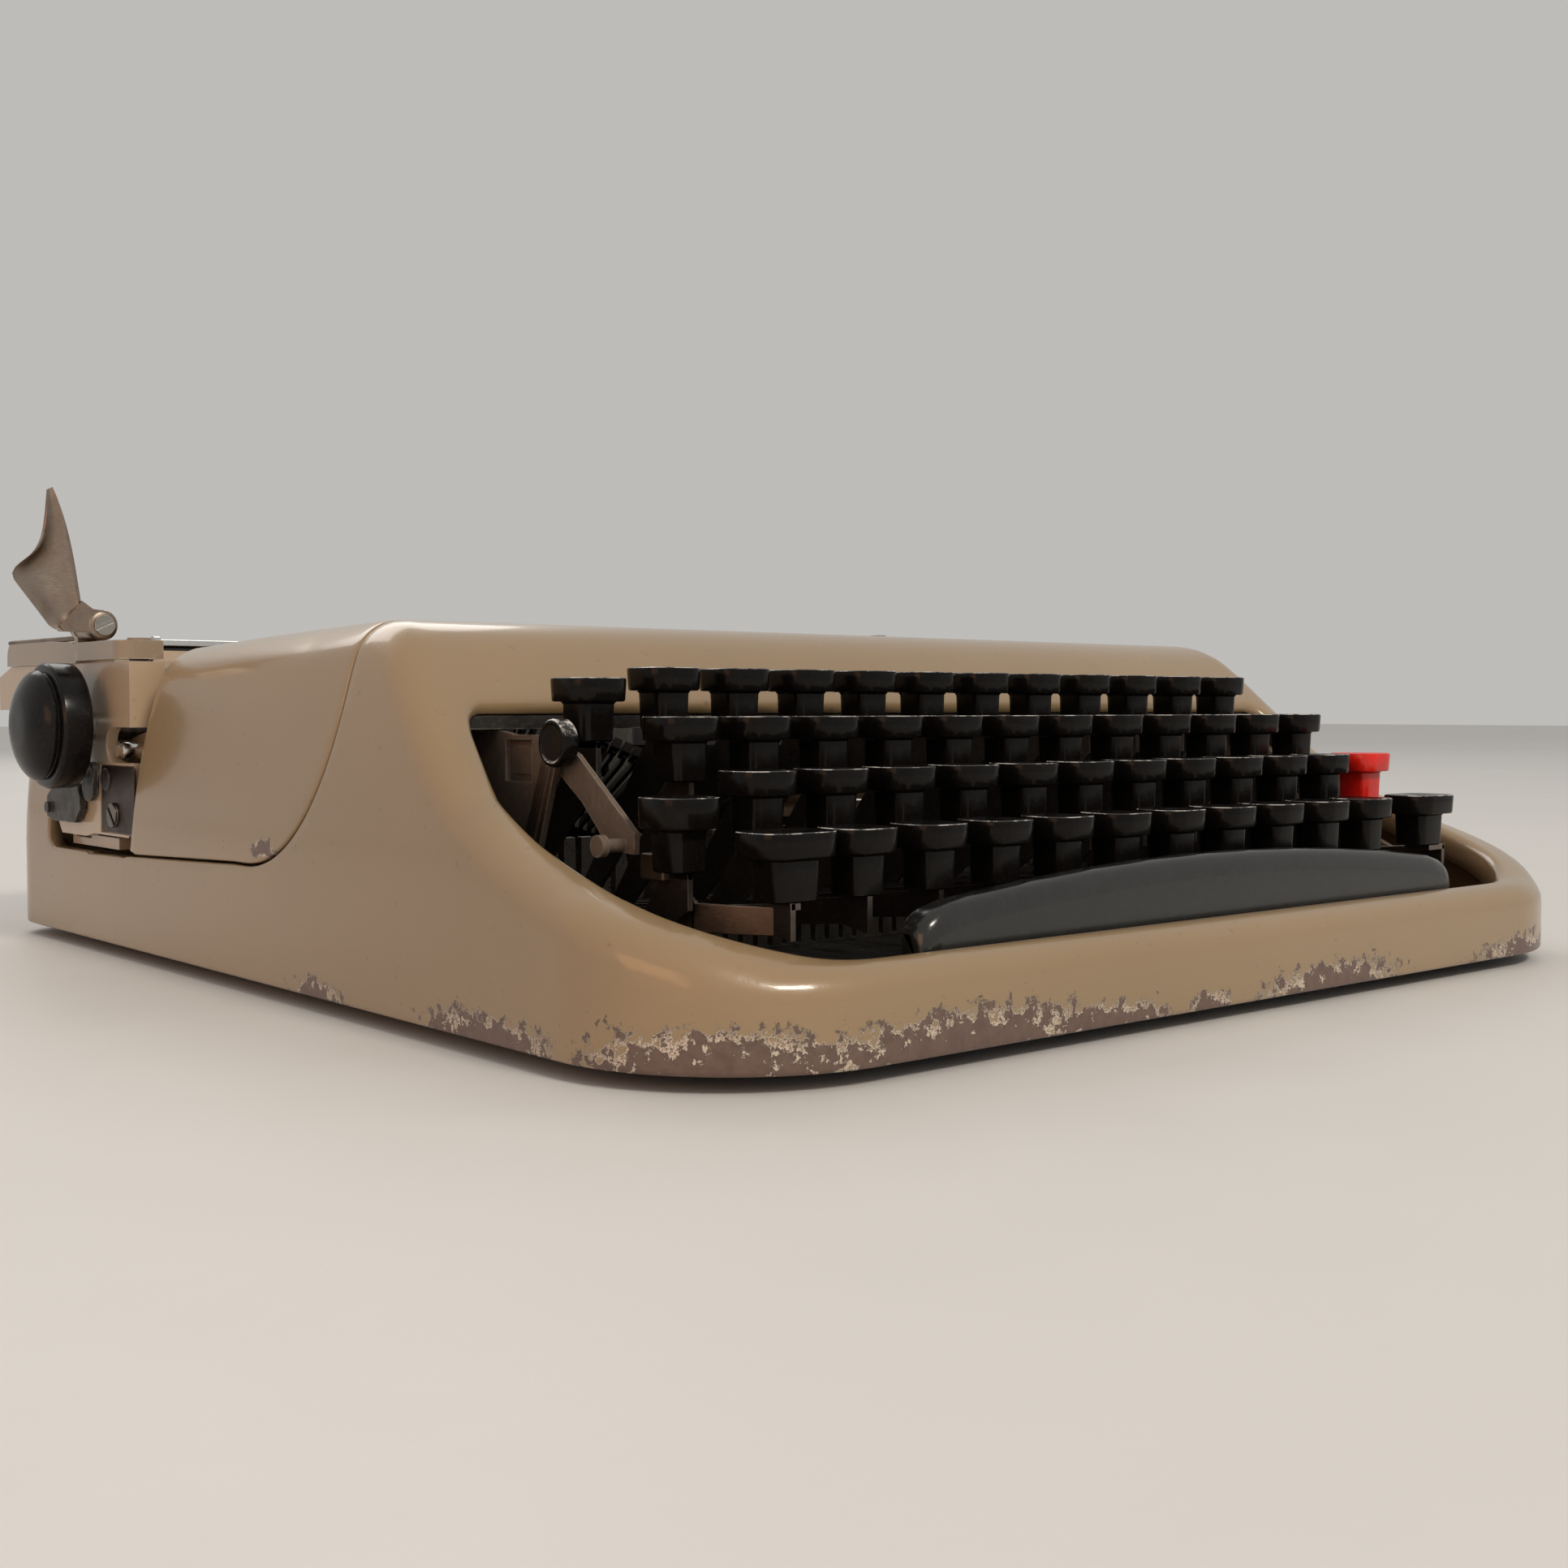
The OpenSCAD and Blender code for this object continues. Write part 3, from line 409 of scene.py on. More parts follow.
def lathe(profile, centre, axis="x", n=48):
    """Turns (distance along the axis, radius) points about an axis through centre."""
    u, v, w = AXES[axis]
    turn = np.linspace(0, 2 * math.pi, n, endpoint=False)
    rings = []
    for along, radius in profile:
        ring = np.tile(np.array(centre, float), (n, 1))
        ring[:, w] += along
        ring[:, u] += radius * np.cos(turn)
        ring[:, v] += radius * np.sin(turn)
        rings.append(ring)
    return loft(rings)


def plate(outline, axis, low, high):
    """Flat plate with a 2-D outline square to an axis, from low to high along it."""
    u, v, w = AXES[axis]
    rings = []
    for along in (low, high):
        ring = np.zeros((len(outline), 3))
        ring[:, u], ring[:, v], ring[:, w] = *np.array(outline, float).T, along
        rings.append(ring)
    return loft(rings)


def block(x0, x1, y0, y1, z0, z1):
    return plate([(x0, y0), (x1, y0), (x1, y1), (x0, y1)], "z", z0, z1)


def rounded_square(width, depth, radius, corner=5):
    """Outline with round corners, as (x, y) points round the origin."""
    points = []
    for i, (sx, sy) in enumerate(((1, 1), (-1, 1), (-1, -1), (1, -1))):
        for k in range(corner + 1):
            a = math.radians(90 * (i + k / corner))
            points.append((sx * (width / 2 - radius) + radius * math.cos(a),
                           sy * (depth / 2 - radius) + radius * math.sin(a)))
    return np.array(points)


def tube(path, radius, n=12):
    """Round rod along a list of points."""
    path = np.array(path, float)
    rings = []
    for i, point in enumerate(path):
        ahead = path[min(i + 1, len(path) - 1)] - path[max(i - 1, 0)]
        ahead /= np.linalg.norm(ahead)
        side = np.cross(ahead, (0.31, 0.17, 0.93) if abs(ahead[2]) < 0.9 else (1.0, 0.2, 0.1))
        side /= np.linalg.norm(side)
        other = np.cross(ahead, side)
        turn = np.linspace(0, 2 * math.pi, n, endpoint=False)[:, None]
        rings.append(point + radius * (np.cos(turn) * side + np.sin(turn) * other))
    return loft(rings)


# ---------- Pressed body ----------

FRONT_R, REAR_R = 40.0, 15.0
GRID_STEP = 2.4
WELL_HALF_W, WELL_FRONT, WELL_REAR = 136.0, 8.0, 94.8
# Floor of the space that the carriage sweeps, and the wall behind it
TROUGH_Z, REAR_WALL_Y, REAR_WALL_Z = 23.0, 293.0, 59.0
COVER_REAR = 264.0
# Middle, half-width and depth of the opening over the type basket
WINDOW_Y, WINDOW_W, WINDOW_D = 196.0, 66.0, 42.0
SHEET_T = 1.2


def round_max(a, b, r):
    """Largest of two distances, with the edge between them rounded to radius r."""
    return np.minimum(-r, np.maximum(a, b)) + np.hypot(np.maximum(a + r, 0), np.maximum(b + r, 0))


def rounded_box(x, y, half_w, y0, y1, r_front, r_rear):
    """Distance to a rectangle in plan with round corners, negative inside."""
    middle = (y0 + y1) / 2
    r = np.where(y < middle, r_front, r_rear)
    qx, qy = np.abs(x) - (half_w - r), np.abs(y - middle) - ((y1 - y0) / 2 - r)
    return np.hypot(np.maximum(qx, 0), np.maximum(qy, 0)) + np.minimum(np.maximum(qx, qy), 0) - r


def top_profile():
    """Height of the body's top along its depth, its corners eased, and its slope."""
    parts = [[(-20, 17.3), (7.2, 17.6)], bezier((7.5, 17.8), (26, 27), (60, 31), (84, 51)),
             bezier((108, 73.5), (113, 78.2), (119, 80), (127, 80)),
             [(154, 79.4), (190, 78.2), (225, 76.6), (360, 76.6)]]
    y, z = np.vstack(parts).T
    fine = np.arange(-14, 350, 0.5)
    window = np.hanning(19)
    height = np.convolve(np.pad(np.interp(fine, y, z), 9, mode="edge"), window / window.sum(), "valid")
    return fine, height, np.gradient(height, fine)


TOP_Y, TOP_Z, TOP_SLOPE = top_profile()
# How far the sides lean in with height
LEAN = HALF_W - bezier((149, 24), (148.5, 48), (144, 66), (141, 74))[:, 0]
LEAN_Z = bezier((149, 24), (148.5, 48), (144, 66), (141, 74))[:, 1]


def body_field(p):
    """Distance to the body's outer surface, negative inside."""
    x, y, z = p[:, 0], p[:, 1], p[:, 2]
    slope = np.interp(y, TOP_Y, TOP_SLOPE)
    top = (z - np.interp(y, TOP_Y, TOP_Z)) / np.sqrt(1 + slope ** 2)
    lean = np.interp(z, np.append(LEAN_Z, 86), np.append(LEAN, 12.5))
    side = rounded_box(x, y, HALF_W, 0, DEPTH, FRONT_R, REAR_R) + lean
    return round_max(top, side, np.interp(y, (8, 45, 110, 150), (5.5, 7.5, 6.5, 9.0)))


def keyboard_cut(p):
    """Opening round the keys; it is a little wider beside the middle rows."""
    x, y = p[:, 0], p[:, 1]
    wide = np.interp(y, (34, 60, 74, 84, 92), (0.0, 2.2, 2.2, -0.4, -2.0))
    return -rounded_box(np.abs(x) - wide, y, WELL_HALF_W, WELL_FRONT, WELL_REAR, 33, 5)


def trough_cut(p):
    """Positive in the space that the carriage sweeps."""
    y, z = p[:, 1], p[:, 2]
    ahead = y - np.interp(z, (TROUGH_Z, 70), (235, 229))
    behind = round_max(REAR_WALL_Y - y, z - REAR_WALL_Z, 4)
    return -round_max(-ahead, round_max(TROUGH_Z - z, -behind, 5), 4)


def cover_cut(p):
    """Positive where the ribbon cover is, negative in the rest of the body."""
    y, z = p[:, 1], p[:, 2]
    qy, qz = 166 - y, 66.3 - 0.035 * np.maximum(y - 172, 0) - z
    inside = 40 - np.hypot(np.maximum(qy, 0), np.maximum(qz, 0)) - np.minimum(np.maximum(qy, qz), 0)
    return np.minimum(inside, COVER_REAR - y)


def window_cut(p):
    """Opening in the ribbon cover over the type basket, open to the rear."""
    x, y = p[:, 0] / WINDOW_W, np.minimum(p[:, 1] - WINDOW_Y, 0) / WINDOW_D
    reach = np.hypot(x, y) + 1e-9
    return (1 - reach) * reach / np.hypot(x / WINDOW_W, y / WINDOW_D + 1e-12)


def surface_net(field, low, high, step):
    """Quads on the field's zero surface: one point in each grid cell that the surface crosses."""
    axes = [np.arange(a, b + step, step) for a, b in zip(low, high)]
    grid = np.stack(np.meshgrid(*axes, indexing="ij"), -1)
    value = field(grid.reshape(-1, 3)).reshape(grid.shape[:3])
    cells = tuple(n - 1 for n in value.shape)
    total, count = np.zeros(cells + (3,)), np.zeros(cells)

    def part(offset):
        return tuple(slice(o, o + n) for o, n in zip(offset, cells))

    for axis in range(3):
        for b in (0, 1):
            for c in (0, 1):
                start = [0, 0, 0]
                start[(axis + 1) % 3], start[(axis + 2) % 3] = b, c
                end = list(start)
                end[axis] = 1
                v0, v1 = value[part(start)], value[part(end)]
                crossed = (v0 < 0) != (v1 < 0)
                share = np.where(crossed, v0 / np.where(crossed, v0 - v1, 1), 0)[..., None]
                spot = grid[part(start)] * (1 - share) + grid[part(end)] * share
                total += np.where(crossed[..., None], spot, 0)
                count += crossed
    index = np.full(cells, -1)
    index[count > 0] = np.arange((count > 0).sum())
    points = total[count > 0] / count[count > 0][:, None]
    quads = []
    for axis in range(3):
        b, c = (axis + 1) % 3, (axis + 2) % 3
        near = [slice(None)] * 3
        near[axis], near[b], near[c] = slice(0, -1), slice(1, -1), slice(1, -1)
        far = list(near)
        far[axis] = slice(1, None)
        v0, v1 = value[tuple(near)] < 0, value[tuple(far)] < 0
        for facing, turned in ((v0 & ~v1, 1), (~v0 & v1, -1)):
            at = np.argwhere(facing)
            at[:, b] += 1
            at[:, c] += 1
            ring = []
            for db, dc in ((-1, -1), (0, -1), (0, 0), (-1, 0)):
                cell = at.copy()
                cell[:, b] += db
                cell[:, c] += dc
                ring.append(index[tuple(cell.T)])
            quads.append(np.stack(ring, 1)[:, ::turned])
    return points, np.vstack(quads)


def gradient(field, p, h=0.05):
    steps = np.eye(3) * h
    return np.stack([(field(p + s) - field(p - s)) / (2 * h) for s in steps], 1)


def settle(p, fields, rounds=3):
    """Moves points onto the zero surfaces of the fields."""
    for _ in range(rounds):
        for field in fields:
            g = gradient(field, p)
            p = p - (field(p) / np.maximum((g * g).sum(1), 1e-6))[:, None] * g
    return p


def relaxed(points, quads, field, rounds=6):
    """Evens out the points' spacing while they stay on the field's surface."""
    pairs = np.vstack([quads[:, [i, (i + 1) % 4]] for i in range(4)])
    for _ in range(rounds):
        total, count = np.zeros_like(points), np.zeros(len(points))
        for a, b in ((0, 1), (1, 0)):
            np.add.at(total, pairs[:, a], points[pairs[:, b]])
            np.add.at(count, pairs[:, a], 1)
        points = settle((points + total / count[:, None]) / 2, [field], 1)
    return settle(points, [field])


def trimmed(points, faces, surface, cut):
    """Cuts away the triangles where cut is positive, along the line where it is zero."""
    value = cut(points)
    near = np.abs(value) < 0.28 * GRID_STEP
    moved = settle(points[near], [cut, surface], 6)
    small = np.linalg.norm(moved - points[near], axis=1) < 0.6 * GRID_STEP
    chosen = np.flatnonzero(near)[small]
    points = points.copy()
    points[chosen] = moved[small]
    value = cut(points)
    value[chosen] = 0.0
    side = value[faces]
    kept = faces[(side <= 0).all(1) & (side < 0).any(1)]
    extra, pairs, new_faces = [], {}, []

    def crossing(a, b):
        key = (min(a, b), max(a, b))
        if key not in pairs:
            share = value[a] / (value[a] - value[b])
            pairs[key] = len(points) + len(extra)
            extra.append(points[a] * (1 - share) + points[b] * share)
        return pairs[key]

    for face in faces[(side < 0).any(1) & (side > 0).any(1)]:
        ring = []
        for a, b in zip(face, np.roll(face, -1)):
            if value[a] <= 0:
                ring.append(a)
            if value[a] * value[b] < 0:
                ring.append(crossing(a, b))
        for i in range(1, len(ring) - 1):
            new_faces.append((ring[0], ring[i], ring[i + 1]))
    if extra:
        points = np.vstack([points, settle(np.array(extra), [cut, surface], 4)])
        kept = np.vstack([kept, np.array(new_faces)])
    return points, kept


def rolled_edges(points, faces, surface, edges):
    """Rolls each cut edge over to the inside. edges holds (cut, radius, flange length at each point)."""
    sides = np.vstack([faces[:, [0, 1]], faces[:, [1, 2]], faces[:, [2, 0]]])
    both = {tuple(e) for e in sides.tolist()}
    border = np.array([e for e in sides.tolist() if (e[1], e[0]) not in both])
    rim = np.unique(border)
    p = points[rim]
    normal = gradient(surface, p)
    normal /= np.linalg.norm(normal, axis=1)[:, None]
    found = []
    for cut, radius, flange in edges:
        g = gradient(cut, p)
        g -= (g * normal).sum(1)[:, None] * normal
        g /= np.maximum(np.linalg.norm(g, axis=1), 1e-9)[:, None]
        found.append((np.abs(cut(p) + radius) < 0.05, g, radius, flange(p)))
    offset, bend, drop = np.zeros_like(p), np.zeros(len(p)), np.zeros(len(p))
    for i in range(len(p)):
        here = [(g[i], radius, flange[i]) for on, g, radius, flange in found if on[i]]
        if not here:
            continue
        bend[i], drop[i] = (np.mean([h[k] for h in here]) for k in (1, 2))
        rows = np.array([h[0] for h in here[:2]])
        aim = np.array([h[1] for h in here[:2]])
        if len(rows) == 2 and abs(rows[0] @ rows[1]) > 0.97:
            rows, aim = rows[:1], aim[:1]
        offset[i] = np.linalg.pinv(rows) @ aim
    layers = []
    for turn in np.radians((22, 45, 67, 90)):
        layers.append(p + offset * math.sin(turn) - normal * (bend * (1 - math.cos(turn)))[:, None])
    layers.append(p + offset - normal * (bend + drop)[:, None])
    at = {v: i for i, v in enumerate(rim.tolist())}
    all_points, new_faces, m = [points, *layers], [], len(rim)
    for a, b in border.tolist():
        ring_a, ring_b = [a], [b]
        for k in range(len(layers)):
            ring_a.append(len(points) + k * m + at[a])
            ring_b.append(len(points) + k * m + at[b])
        for k in range(len(layers)):
            new_faces.append((ring_b[k], ring_a[k], ring_a[k + 1], ring_b[k + 1]))
    return np.vstack(all_points), [tuple(f) for f in faces.tolist()] + new_faces


def shifted(cut, by):
    return lambda p: cut(p) + by


def shell_piece(name, body, node, skin, edges):
    """Cuts the skin back by each edge's radius, rolls the edges and gives the sheet its thickness."""
    points, faces = skin
    for cut, radius, _ in edges:
        points, faces = trimmed(points, faces, body_field, shifted(cut, radius))
    used = np.unique(faces)
    number = np.full(len(points), -1)
    number[used] = np.arange(len(used))
    shape = rolled_edges(points[used], number[faces], body_field, edges)
    piece = add_piece(name, shape, "paint", body, replaces=(node,), sharp=60, closed=False)
    thickness = piece.modifiers.new("sheet", "SOLIDIFY")
    thickness.thickness, thickness.offset = SHEET_T * MM, -1
    return piece


def add_body():
    """The pressed body and its ribbon cover, cut from one skin along the seam between them."""
    low, high = (-HALF_W - 4, -4, -6), (HALF_W + 4, DEPTH + 4, 84)
    points, quads = surface_net(body_field, low, high, GRID_STEP)
    points = relaxed(settle(points, [body_field]), quads, body_field)
    a, b, c, d = points[quads.T]
    short = (np.linalg.norm(a - c, axis=1) < np.linalg.norm(b - d, axis=1))[:, None]
    first = np.where(short, quads[:, [0, 1, 2]], quads[:, [0, 1, 3]])
    second = np.where(short, quads[:, [0, 2, 3]], quads[:, [1, 2, 3]])
    skin = points, np.vstack([first, second])

    gap = 0.55

    def seam_side(p):
        return round_max(cover_cut(p) + gap, trough_cut(p), 1.0)

    def cover_side(p):
        return -cover_cut(p)

    def cover_rear(p):
        return round_max(trough_cut(p), window_cut(p), 7.0)

    def below(p):
        return -p[:, 2]

    def keyboard_flange(p):
        return np.interp(p[:, 1], (66, 88), (5.0, 0.3))

    def flange(p):
        return np.full(len(p), 3.0)

    body_edges = [(keyboard_cut, 2.2, keyboard_flange), (seam_side, 0.7, flange), (below, 1.0, flange)]
    cover_edges = [(cover_side, 0.7, flange), (cover_rear, 2.2, flange)]
    shell_piece("body_shell_skin", "root", "body_shell", skin, body_edges)
    shell_piece("ribbon_cover_skin", "cover", "ribbon_cover", skin, cover_edges)


# ---------- Keys ----------

single_low, single_high = span("single_key")
KEY_W = single_high[0] - single_low[0]
KEY_T = 4.8
STEM_H = 8.0
DISH_R = 30.0


def key_cap(x, y, z, width=KEY_W, thick=KEY_T):
    """Key top with a dished face, rounded edges and a tapered stem; z is the rim's height."""
    rings = []

    def ring(inset, height, radius=4.4, dish=False, size=(width, KEY_W)):
        outline = rounded_square(size[0] - 2 * inset, size[1] - 2 * inset, max(radius - inset, 0.3))
        level = np.full(len(outline), float(height))
        if dish:
            level = np.minimum((outline ** 2).sum(1) / (2 * DISH_R) - 0.72, height)
        rings.append(np.column_stack([outline + (x, y), z + level]))

    for share in (0.97, 0.72, 0.42, 0.2):
        ring(share * KEY_W / 2, 0.0, dish=True)
    for inset, height in ((0.75, -0.06), (0.4, 0.0), (0.12, -0.14), (0.0, -0.5)):
        ring(inset, height)
    for inset, height in ((0.22, -thick + 0.45), (0.42, -thick + 0.08), (0.8, -thick)):
        ring(inset, height)
    stem = (width * 0.62, KEY_W * 0.64)
    for inset, height in ((-0.5, -thick), (-0.05, -thick - 0.5), (0.25, -thick - STEM_H + 0.3),
                          (0.6, -thick - STEM_H)):
        ring(inset, height, 2.0, size=stem)
    return loft(rings)


LEVER_T = 1.2
LOCK_KEY_T = 5.9
ROD_Y, ROD_Z, EYE_R = 228.0, 8.0, 4.6


def lever_top(y):
    return 9 + (206 - y) * 0.094


def key_lever(x, y, z):
    """Pressed lever from under a key to its eye on the rod."""
    foot = z - KEY_T - STEM_H
    bend = y + 3.5 + 0.8 * max(0.0, foot - lever_top(y + 12))
    turn = np.radians(range(150, -151, -20))
    eye = [(ROD_Y + EYE_R * math.cos(a), ROD_Z + EYE_R * math.sin(a)) for a in turn]
    outline = [(y - 3.5, foot), (y + 3.5, foot), (bend, lever_top(bend)), (206, 9), (222, 10), *eye,
               (222, 5), (206, 4.4), (bend - 1, lever_top(bend) - 5), (y - 3.5, foot - 7)]
    return plate(outline, "x", x - LEVER_T / 2, x + LEVER_T / 2)


def add_keys():
    single_x = (single_low[0] + single_high[0]) / 2
    for row, count in (("1", 11), ("2", 12), ("3", 11), ("4", 10)):
        low, high = span("keys_row_" + row)
        centres = np.linspace(low[0] + KEY_W / 2, high[0] - KEY_W / 2, count)
        caps = [key_cap(x, low[1] + KEY_W / 2, high[2]) for x in centres
                if row != "3" or abs(x - single_x) > KEY_W / 2]
        node = "keys_row_" + row
        add_piece("key_tops_row_" + row, join(*caps), "key_plastic", "row_" + row, (node,))
    add_piece("key_top_single", key_cap(single_x, single_low[1] + KEY_W / 2, single_high[2]),
              "key_plastic", "single_key", ("single_key",))
    others = (("shift_key_left", "shift_left", -109.2), ("shift_key_right", "shift_right", 111.7),
              ("shift_lock_key", "shift_lock", -118.6), ("red_key", "red_key", 107.0),
              ("margin_release_key", "margin_release", -113.9))
    for node, body, lever_x in others:
        low, high = span(node)
        x, y, z = (low[0] + high[0]) / 2, low[1] + KEY_W / 2, high[2]
        thick = LOCK_KEY_T if node == "shift_lock_key" else KEY_T
        color = "red_plastic" if node == "red_key" else "key_plastic"
        add_piece(node + "_top", key_cap(x, y, z, high[0] - low[0], thick), color, body, (node,))
        lever = key_lever(lever_x, y, z + KEY_T - thick)
        foot = z - thick - STEM_H
        link = block(min(x, lever_x) - 0.6, max(x, lever_x) + 0.6, y - 3.5, y + 3.5, foot - 1.4, foot)
        add_piece(node + "_lever", join(lever, link), "lever_steel", body, bevel=0.15)


def add_shift_parts():
    """The left shift key's bent arm, and the block under the shift lock."""
    side = [(56, 27), (52, 31.2), (50.6, 30.8), (42, 25.4), (42, 19.8), (48.8, 22)]
    plan = [(-116.9, 43), (-116.9, 41.8), (-113.4, 33.6), (-107.6, 24.4), (-106.8, 25.2), (-112.5, 34.2),
            (-115.9, 42.1), (-115.9, 43)]
    arm = plate(side, "x", -116.9, -115.9)
    bend = plate(plan, "z", 19.8, 25.2)
    add_piece("shift_arm_left", join(arm, bend), "tan_steel", "shift_left", bevel=0.25)
    add_piece("shift_lock_block", block(-120.8, -118.1, 46.6, 53.8, 29, 34), "tan_steel", "shift_lock",
              bevel=0.5)


def add_space_bar():
    """Space bar with a crowned top that falls away to rounded ends."""
    low, high = span("space_bar")
    middle, half = (low[0] + high[0]) / 2, (high[0] - low[0]) / 2
    front, rear = low[1] + 0.1, high[1] - 0.1
    mid, depth = (rear + front) / 2, (rear - front) / 2
    rings = []
    for x in np.concatenate([[-1, -0.9985, -0.995, -0.988, -0.975], np.linspace(-0.95, 0.95, 39),
                             [0.975, 0.988, 0.995, 0.9985, 1]]):
        end = math.sqrt(max(0.0, 1 - ((abs(x) - 0.965) / 0.035) ** 2)) if abs(x) > 0.965 else 1.0
        crown = high[2] - 6.0 * x * x - 2.4 * max(0.0, abs(x) - 0.93) / 0.07
        shrink = 0.45 + 0.55 * end
        base = 14.5 - 0.3 * end
        top = base + (crown - base) * (0.72 + 0.28 * end)
        y0, y1 = mid - depth * shrink, mid + depth * shrink
        nose = bezier((y0, top - 5.0), (y0 + 0.2, top - 1.4), (y0 + 1.2, top), (y0 + 3.4, top), 7)
        back = bezier((y1 - 1.6, top - 0.15), (y1 - 0.5, top - 0.2), (y1, top - 0.7), (y1, top - 1.6), 4)
        section = [(y1, base), (y0 + 0.4, base), (y0, base + 0.5), *nose, *back]
        rings.append(np.array([(middle + x * half, y, z) for y, z in section]))
    add_piece("space_bar_top", loft(rings), "bar_plastic", "space_bar", ("space_bar",))
    arms = [block(middle + x - 2, middle + x + 2, 12, 15, 8, 15.5) for x in (-83, 83)]
    rod = lathe([(-85, 1.5), (85, 1.5)], (middle, 13.5, 9.2), "x", 16)
    add_piece("space_bar_arms", join(*arms, rod), "lever_steel", "space_bar", bevel=0.2)


# ---------- Carriage ----------

def add_knob(side):
    """Drum with a groove behind its domed face; the right one is bored for the release button."""
    name = "knob_left" if side < 0 else "knob_right"
    low, high = span(name)
    centre = np.array([0, (low[1] + high[1]) / 2, (low[2] + high[2]) / 2])
    r = (high[2] - low[2]) / 2
    start = -high[0] if side < 0 else low[0]
    steps = [(0, 0.5), (0, r - 1.4), (0.25, r - 0.6), (0.8, r - 0.1), (1.4, r), (6.5, r)]
    steps += [(7.1, r - 0.1), (7.7, r - 0.6), (7.95, r - 1.4), (8.05, r - 2.6)]
    steps += [(8.3, r - 2.8), (8.5, r - 2.5), (8.9, r - 2.1)]
    steps += [tuple(p) for p in bezier((9.4, r - 2.0), (11.6, r - 2.6), (14.0, 9), (14.3, 5.4), 9)]
    if side < 0:
        steps += [(14.4, 3), (14.4, 0.3)]
    else:
        steps += [(13.9, 5.1), (8.1, 5.1), (8.1, 0.3)]
    profile = [(side * (start + along), radius) for along, radius in steps]
    shape = lathe(profile, centre, "x", 96)
    add_piece(name + "_turned", shape, "knob_plastic", "platen", (name,), sharp=30)


# Axis of the return lever's pin, and depth of its blade
LEVER_X, LEVER_Z = -147.0, 82.7
BLADE_Y = 256.2


def lever_blade():
    """Spoon-shaped blade: a thick rounded right edge, a hollowed face and a flared lobe."""
    top = span("return_lever")[1][2]
    right = np.vstack([[(-152.0, 86.0), (-152.2, 88.5)],
                       bezier((-152.4, 90), (-153.6, 98), (-154.6, 108), (-158.9, top - 0.3), 12)])
    left = np.vstack([[(-157.6, 80.9), (-160.2, 81.6), (-163.4, 86.0), (-166.6, 90.3)],
                      bezier((-168.9, 93.4), (-170.3, 95.2), (-168.9, 96.8), (-167.4, 98.0), 5),
                      bezier((-166.4, 98.8), (-161.4, 102.2), (-161.2, 108), (-160.3, top - 1.0), 9)])

    def spread(line, n):
        run = np.append(0, np.cumsum(np.linalg.norm(np.diff(line, axis=0), axis=1)))
        at = np.linspace(0, run[-1], n)
        return np.column_stack([np.interp(at, run, line[:, k]) for k in (0, 1)])

    n, across = 26, 12
    rings = []
    for i, (a, b) in enumerate(zip(spread(right, n), spread(left, n))):
        up = i / (n - 1)
        width = np.linalg.norm(a - b)
        share = np.linspace(0, 1, across)
        line = a + (b - a) * share[:, None]
        hollow = 0.13 * width * np.sin(np.pi * share) ** 0.8
        curl = 1.2 * (1 - up) * share ** 3
        middle = BLADE_Y + hollow - curl
        rib = 1.0 + 1.0 * np.exp(-((share - 0.06) / 0.16) ** 2) * (1 - 0.5 * up)
        thin = np.sqrt(np.clip(1 - (2 * share - 1) ** 8, 0.0, 1))
        half = 0.9 * rib * (0.25 + 0.75 * thin) * (1 if up < 0.93 else 1 - 6 * (up - 0.93))
        near = np.column_stack([line[:, 0], middle - half, line[:, 1]])
        far = np.column_stack([line[:, 0], middle + half * 0.7, line[:, 1]])[::-1]
        rings.append(np.vstack([near, far]))
    return loft(rings)


def add_return_lever():
    """Blade, barrel and root in one piece, and the slotted pin that they fold on."""
    barrel = [(0, 0.3), (0, 2.9), (0.3, 3.6), (0.9, 4), (10.6, 4), (11.1, 3.7), (11.4, 3), (11.4, 0.3)]
    hub = lathe(barrel, (LEVER_X, 254.2, LEVER_Z), "y", 40)
    foot = [(-147, 86.5), (-149.5, 86.8), (-152.3, 88.8), (-158.2, 82.3), (-157.3, 80.9), (-147, 80.9)]
    root = plate(foot, "y", 254.6, 258.4)
    add_piece("return_lever_blade", join(lever_blade(), hub, root), "lever_metal", "return_lever",
              ("return_lever",), sharp=50)
    pin = lathe([(0, 0.2), (0, 1.5), (4.2, 1.5), (4.6, 1.1), (4.6, 0.2)], (LEVER_X, 265, LEVER_Z), "y", 24)
    head = screw_head(2.6, (LEVER_X, 254.3, LEVER_Z), "y", -1, 25)
    add_piece("return_lever_pin", join(head, pin), "steel", "return_lever")


def screw_head(r, centre, axis, side, turn, high=1.0):
    """Slotted head, two half-moons on a disc; it faces along the axis if side is 1, back if -1."""
    u, v, w = AXES[axis]
    start = math.asin(0.17)
    circle = np.linspace(0, 2 * math.pi, 40, endpoint=False)
    moon = np.linspace(start, math.pi - start, 20)
    tilt = math.radians(turn)
    shapes = []
    for angle, low, top in ((circle, 0.0, 0.5), (moon, 0.4, 1.0), (moon + math.pi, 0.4, 1.0)):
        outline = np.column_stack([np.cos(angle + tilt), np.sin(angle + tilt)]) * r
        outline += (centre[u], centre[v])
        shapes.append(plate(outline, axis, centre[w] + side * low * high, centre[w] + side * top * high))
    return join(*shapes)


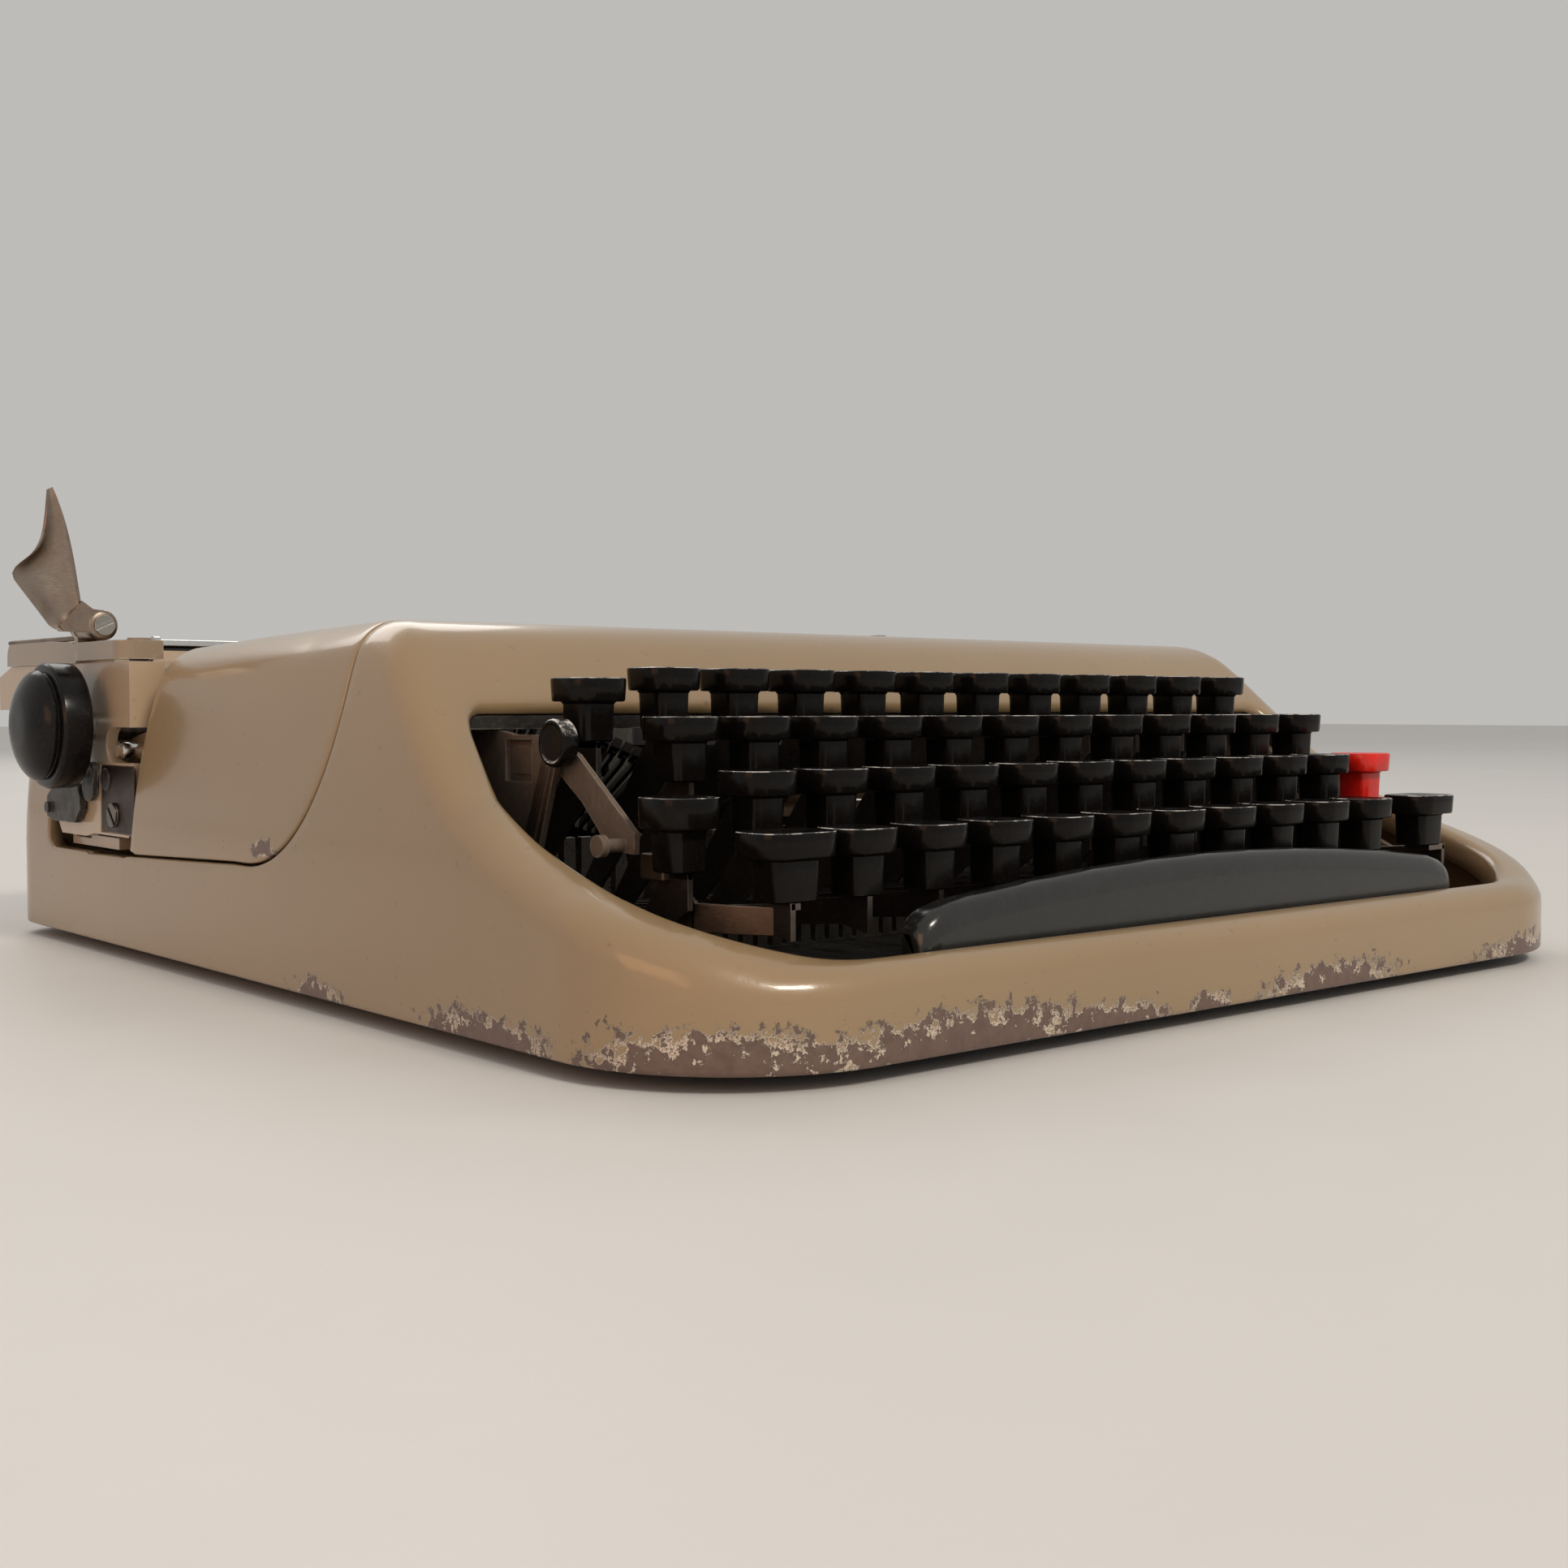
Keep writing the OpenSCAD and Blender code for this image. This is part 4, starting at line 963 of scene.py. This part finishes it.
def add_carriage_ends():
    """Recessed brown plates, their screws, pins and washers, and sleeves on the guide rods."""
    washer = [(0, 0.3), (0, 3), (0.35, 3), (0.6, 2.7), (0.6, 0.3)]
    pin = [(0, 0.3), (0, 1.3), (1.4, 1.3), (1.9, 0.8), (1.9, 0.2)]
    sleeve = [(0, 1.5), (0, 2.0), (0.4, 2.3), (5.4, 2.3), (5.8, 2.0), (5.8, 1.5)]
    outline = rounded_square(22.4, 17.2, 1.2) + (245.5, 37.5)
    for side, name in ((-1, "left"), (1, "right")):

        def turned(profile, x, y, z, n=32):
            return lathe([(side * along, r) for along, r in profile], (side * x, y, z), "x", n)

        face = plate(outline, "x", side * 146.7, side * 147.3)
        add_piece("seat_plate_" + name, face, "brown_steel", "carriage", bevel=0.15)
        head = screw_head(3.2, (side * 147.2, 248, 33.4), "x", side, 45, 1.1)
        add_piece("seat_screw_" + name, head, "lever_steel", "carriage", bevel=0.2)
        add_piece("seat_washer_" + name, turned(washer, 147.2, 253.4, 42.5), "black_lacquer", "carriage")
        pins = join(turned(pin, 147, 259.4, 44, 24), turned(sleeve, 138.8, 250.2, 49.9))
        add_piece("carriage_pins_" + name, pins, "chrome", "carriage")
    rim = tube([(-147.8, y, 79.75) for y in np.linspace(272.5, 325.5, 24)], 0.75, 10)
    add_piece("cap_rim_left", rim, "tan_steel", "carriage")


def add_recess_plate():
    """Plate with a raised middle behind the rectangular recess in the left side frame."""
    back = block(-122.9, -122.3, 84.4, 96.2, 45.4, 55.7)
    boss = block(-123.2, -122.8, 87.0, 93.6, 47.8, 53.4)
    add_piece("recess_plate", join(back, boss), "brown_lacquer", "root", bevel=0.15)


def add_selector():
    """Ribbon selector: a bent steel arm with a round black button."""
    button_y, button_z, pivot_y, pivot_z, end_r = 71.8, 54.4, 90.6, 12.0, 3.9
    turn = np.radians(range(160, 381, 20))
    round_end = [(pivot_y + end_r * math.cos(a), pivot_z + end_r * math.sin(a)) for a in turn]
    arm = plate([(77.6, 52.0), (72.4, 52.0), *round_end], "x", -126.75, -125.25)
    rib = plate([(76.1, 50.0), (74.2, 50.0), (87.6, 18.0), (89.4, 18.0)], "x", -127.15, -126.6)
    head = screw_head(2.6, (-126.7, pivot_y, pivot_z), "x", -1, 20, 0.9)
    add_piece("selector_arm", join(arm, rib, head), "tan_steel", "selector", ("ribbon_selector",),
              bevel=0.3)
    face = [(0, 0.3), (0, 3.2), (-0.1, 3.7), (-0.35, 3.95), (-0.3, 4.4), (0.0, 4.65), (0.5, 4.7)]
    face += [(2.7, 4.7), (3.1, 4.4), (3.1, 0.3)]
    button = lathe(face, (-128.25, button_y, button_z), "x", 48)
    add_piece("selector_button", button, "key_plastic", "selector")


# ---------- CAD nodes that keep their shape ----------

# Width of the rounding on each node's edges, in millimetres
SOFTENED = {
    "carriage_frame": 0.5, "carriage_cap_left": 0.8, "carriage_cap_right": 0.8, "paper_table": 0.5,
    "lever_hub": 0.5, "line_space_selector": 0.3, "carriage_release_lever": 0.4,
    "paper_release_lever": 0.3, "side_frame_left": 0.3, "side_frame_right": 0.3, "front_cross_bar": 0.5,
    "carriage_rail": 0.4, "margin_rail": 0.4, "margin_stop_left": 0.3, "margin_stop_right": 0.3,
    "type_guide": 0.2, "ribbon_vibrator": 0.1, "platen": 0.4,
}
# Materials that differ from the one named after the node's slot
FINISHES = {
    # The carriage caps and the lever hub take the darkened carriage paint, which is painted shade
    "carriage_cap_left": "shaded_cap_paint", "carriage_cap_right": "shaded_cap_paint", "typebars": "dark_steel",
    "lever_hub": "shaded_cap_paint", "side_frame_left": "brown_lacquer", "side_frame_right": "brown_lacquer",
    "type_segment": "dark_steel", "single_lever": "lever_steel", "levers_row_1": "lever_steel",
    "levers_row_2": "lever_steel", "levers_row_3": "lever_steel", "levers_row_4": "lever_steel",
}


def finish_cad_nodes():
    slots = {s["node"]: s["material_slot"] for s in frame["record"]["subparts"]}
    for name, node in frame["nodes"].items():
        material = FINISHES.get(name, slots[name])
        node.data.materials.clear()
        node.data.materials.append(MATERIALS[material])
        if name in SOFTENED:
            soften(node, SOFTENED[name])


# ---------- Build ----------

def add_floor():
    """Plain pale floor, which is not part of the object."""
    size = 6.0
    corners = [(-size, -size), (size, -size), (size, size), (-size, size)]
    mesh = bpy.data.meshes.new("floor")
    mesh.from_pydata([(x, y, 0.0) for x, y in corners], [], [(0, 1, 2, 3)])
    mesh.materials.append(floor_finish())
    floor = bpy.data.objects.new("floor", mesh)
    bpy.context.scene.collection.objects.link(floor)


add_camera()
add_studio()
add_floor()
finish_cad_nodes()
add_body()
add_keys()
add_shift_parts()
add_space_bar()
add_knob(-1)
add_knob(1)
add_return_lever()
add_carriage_ends()
add_recess_plate()
add_selector()
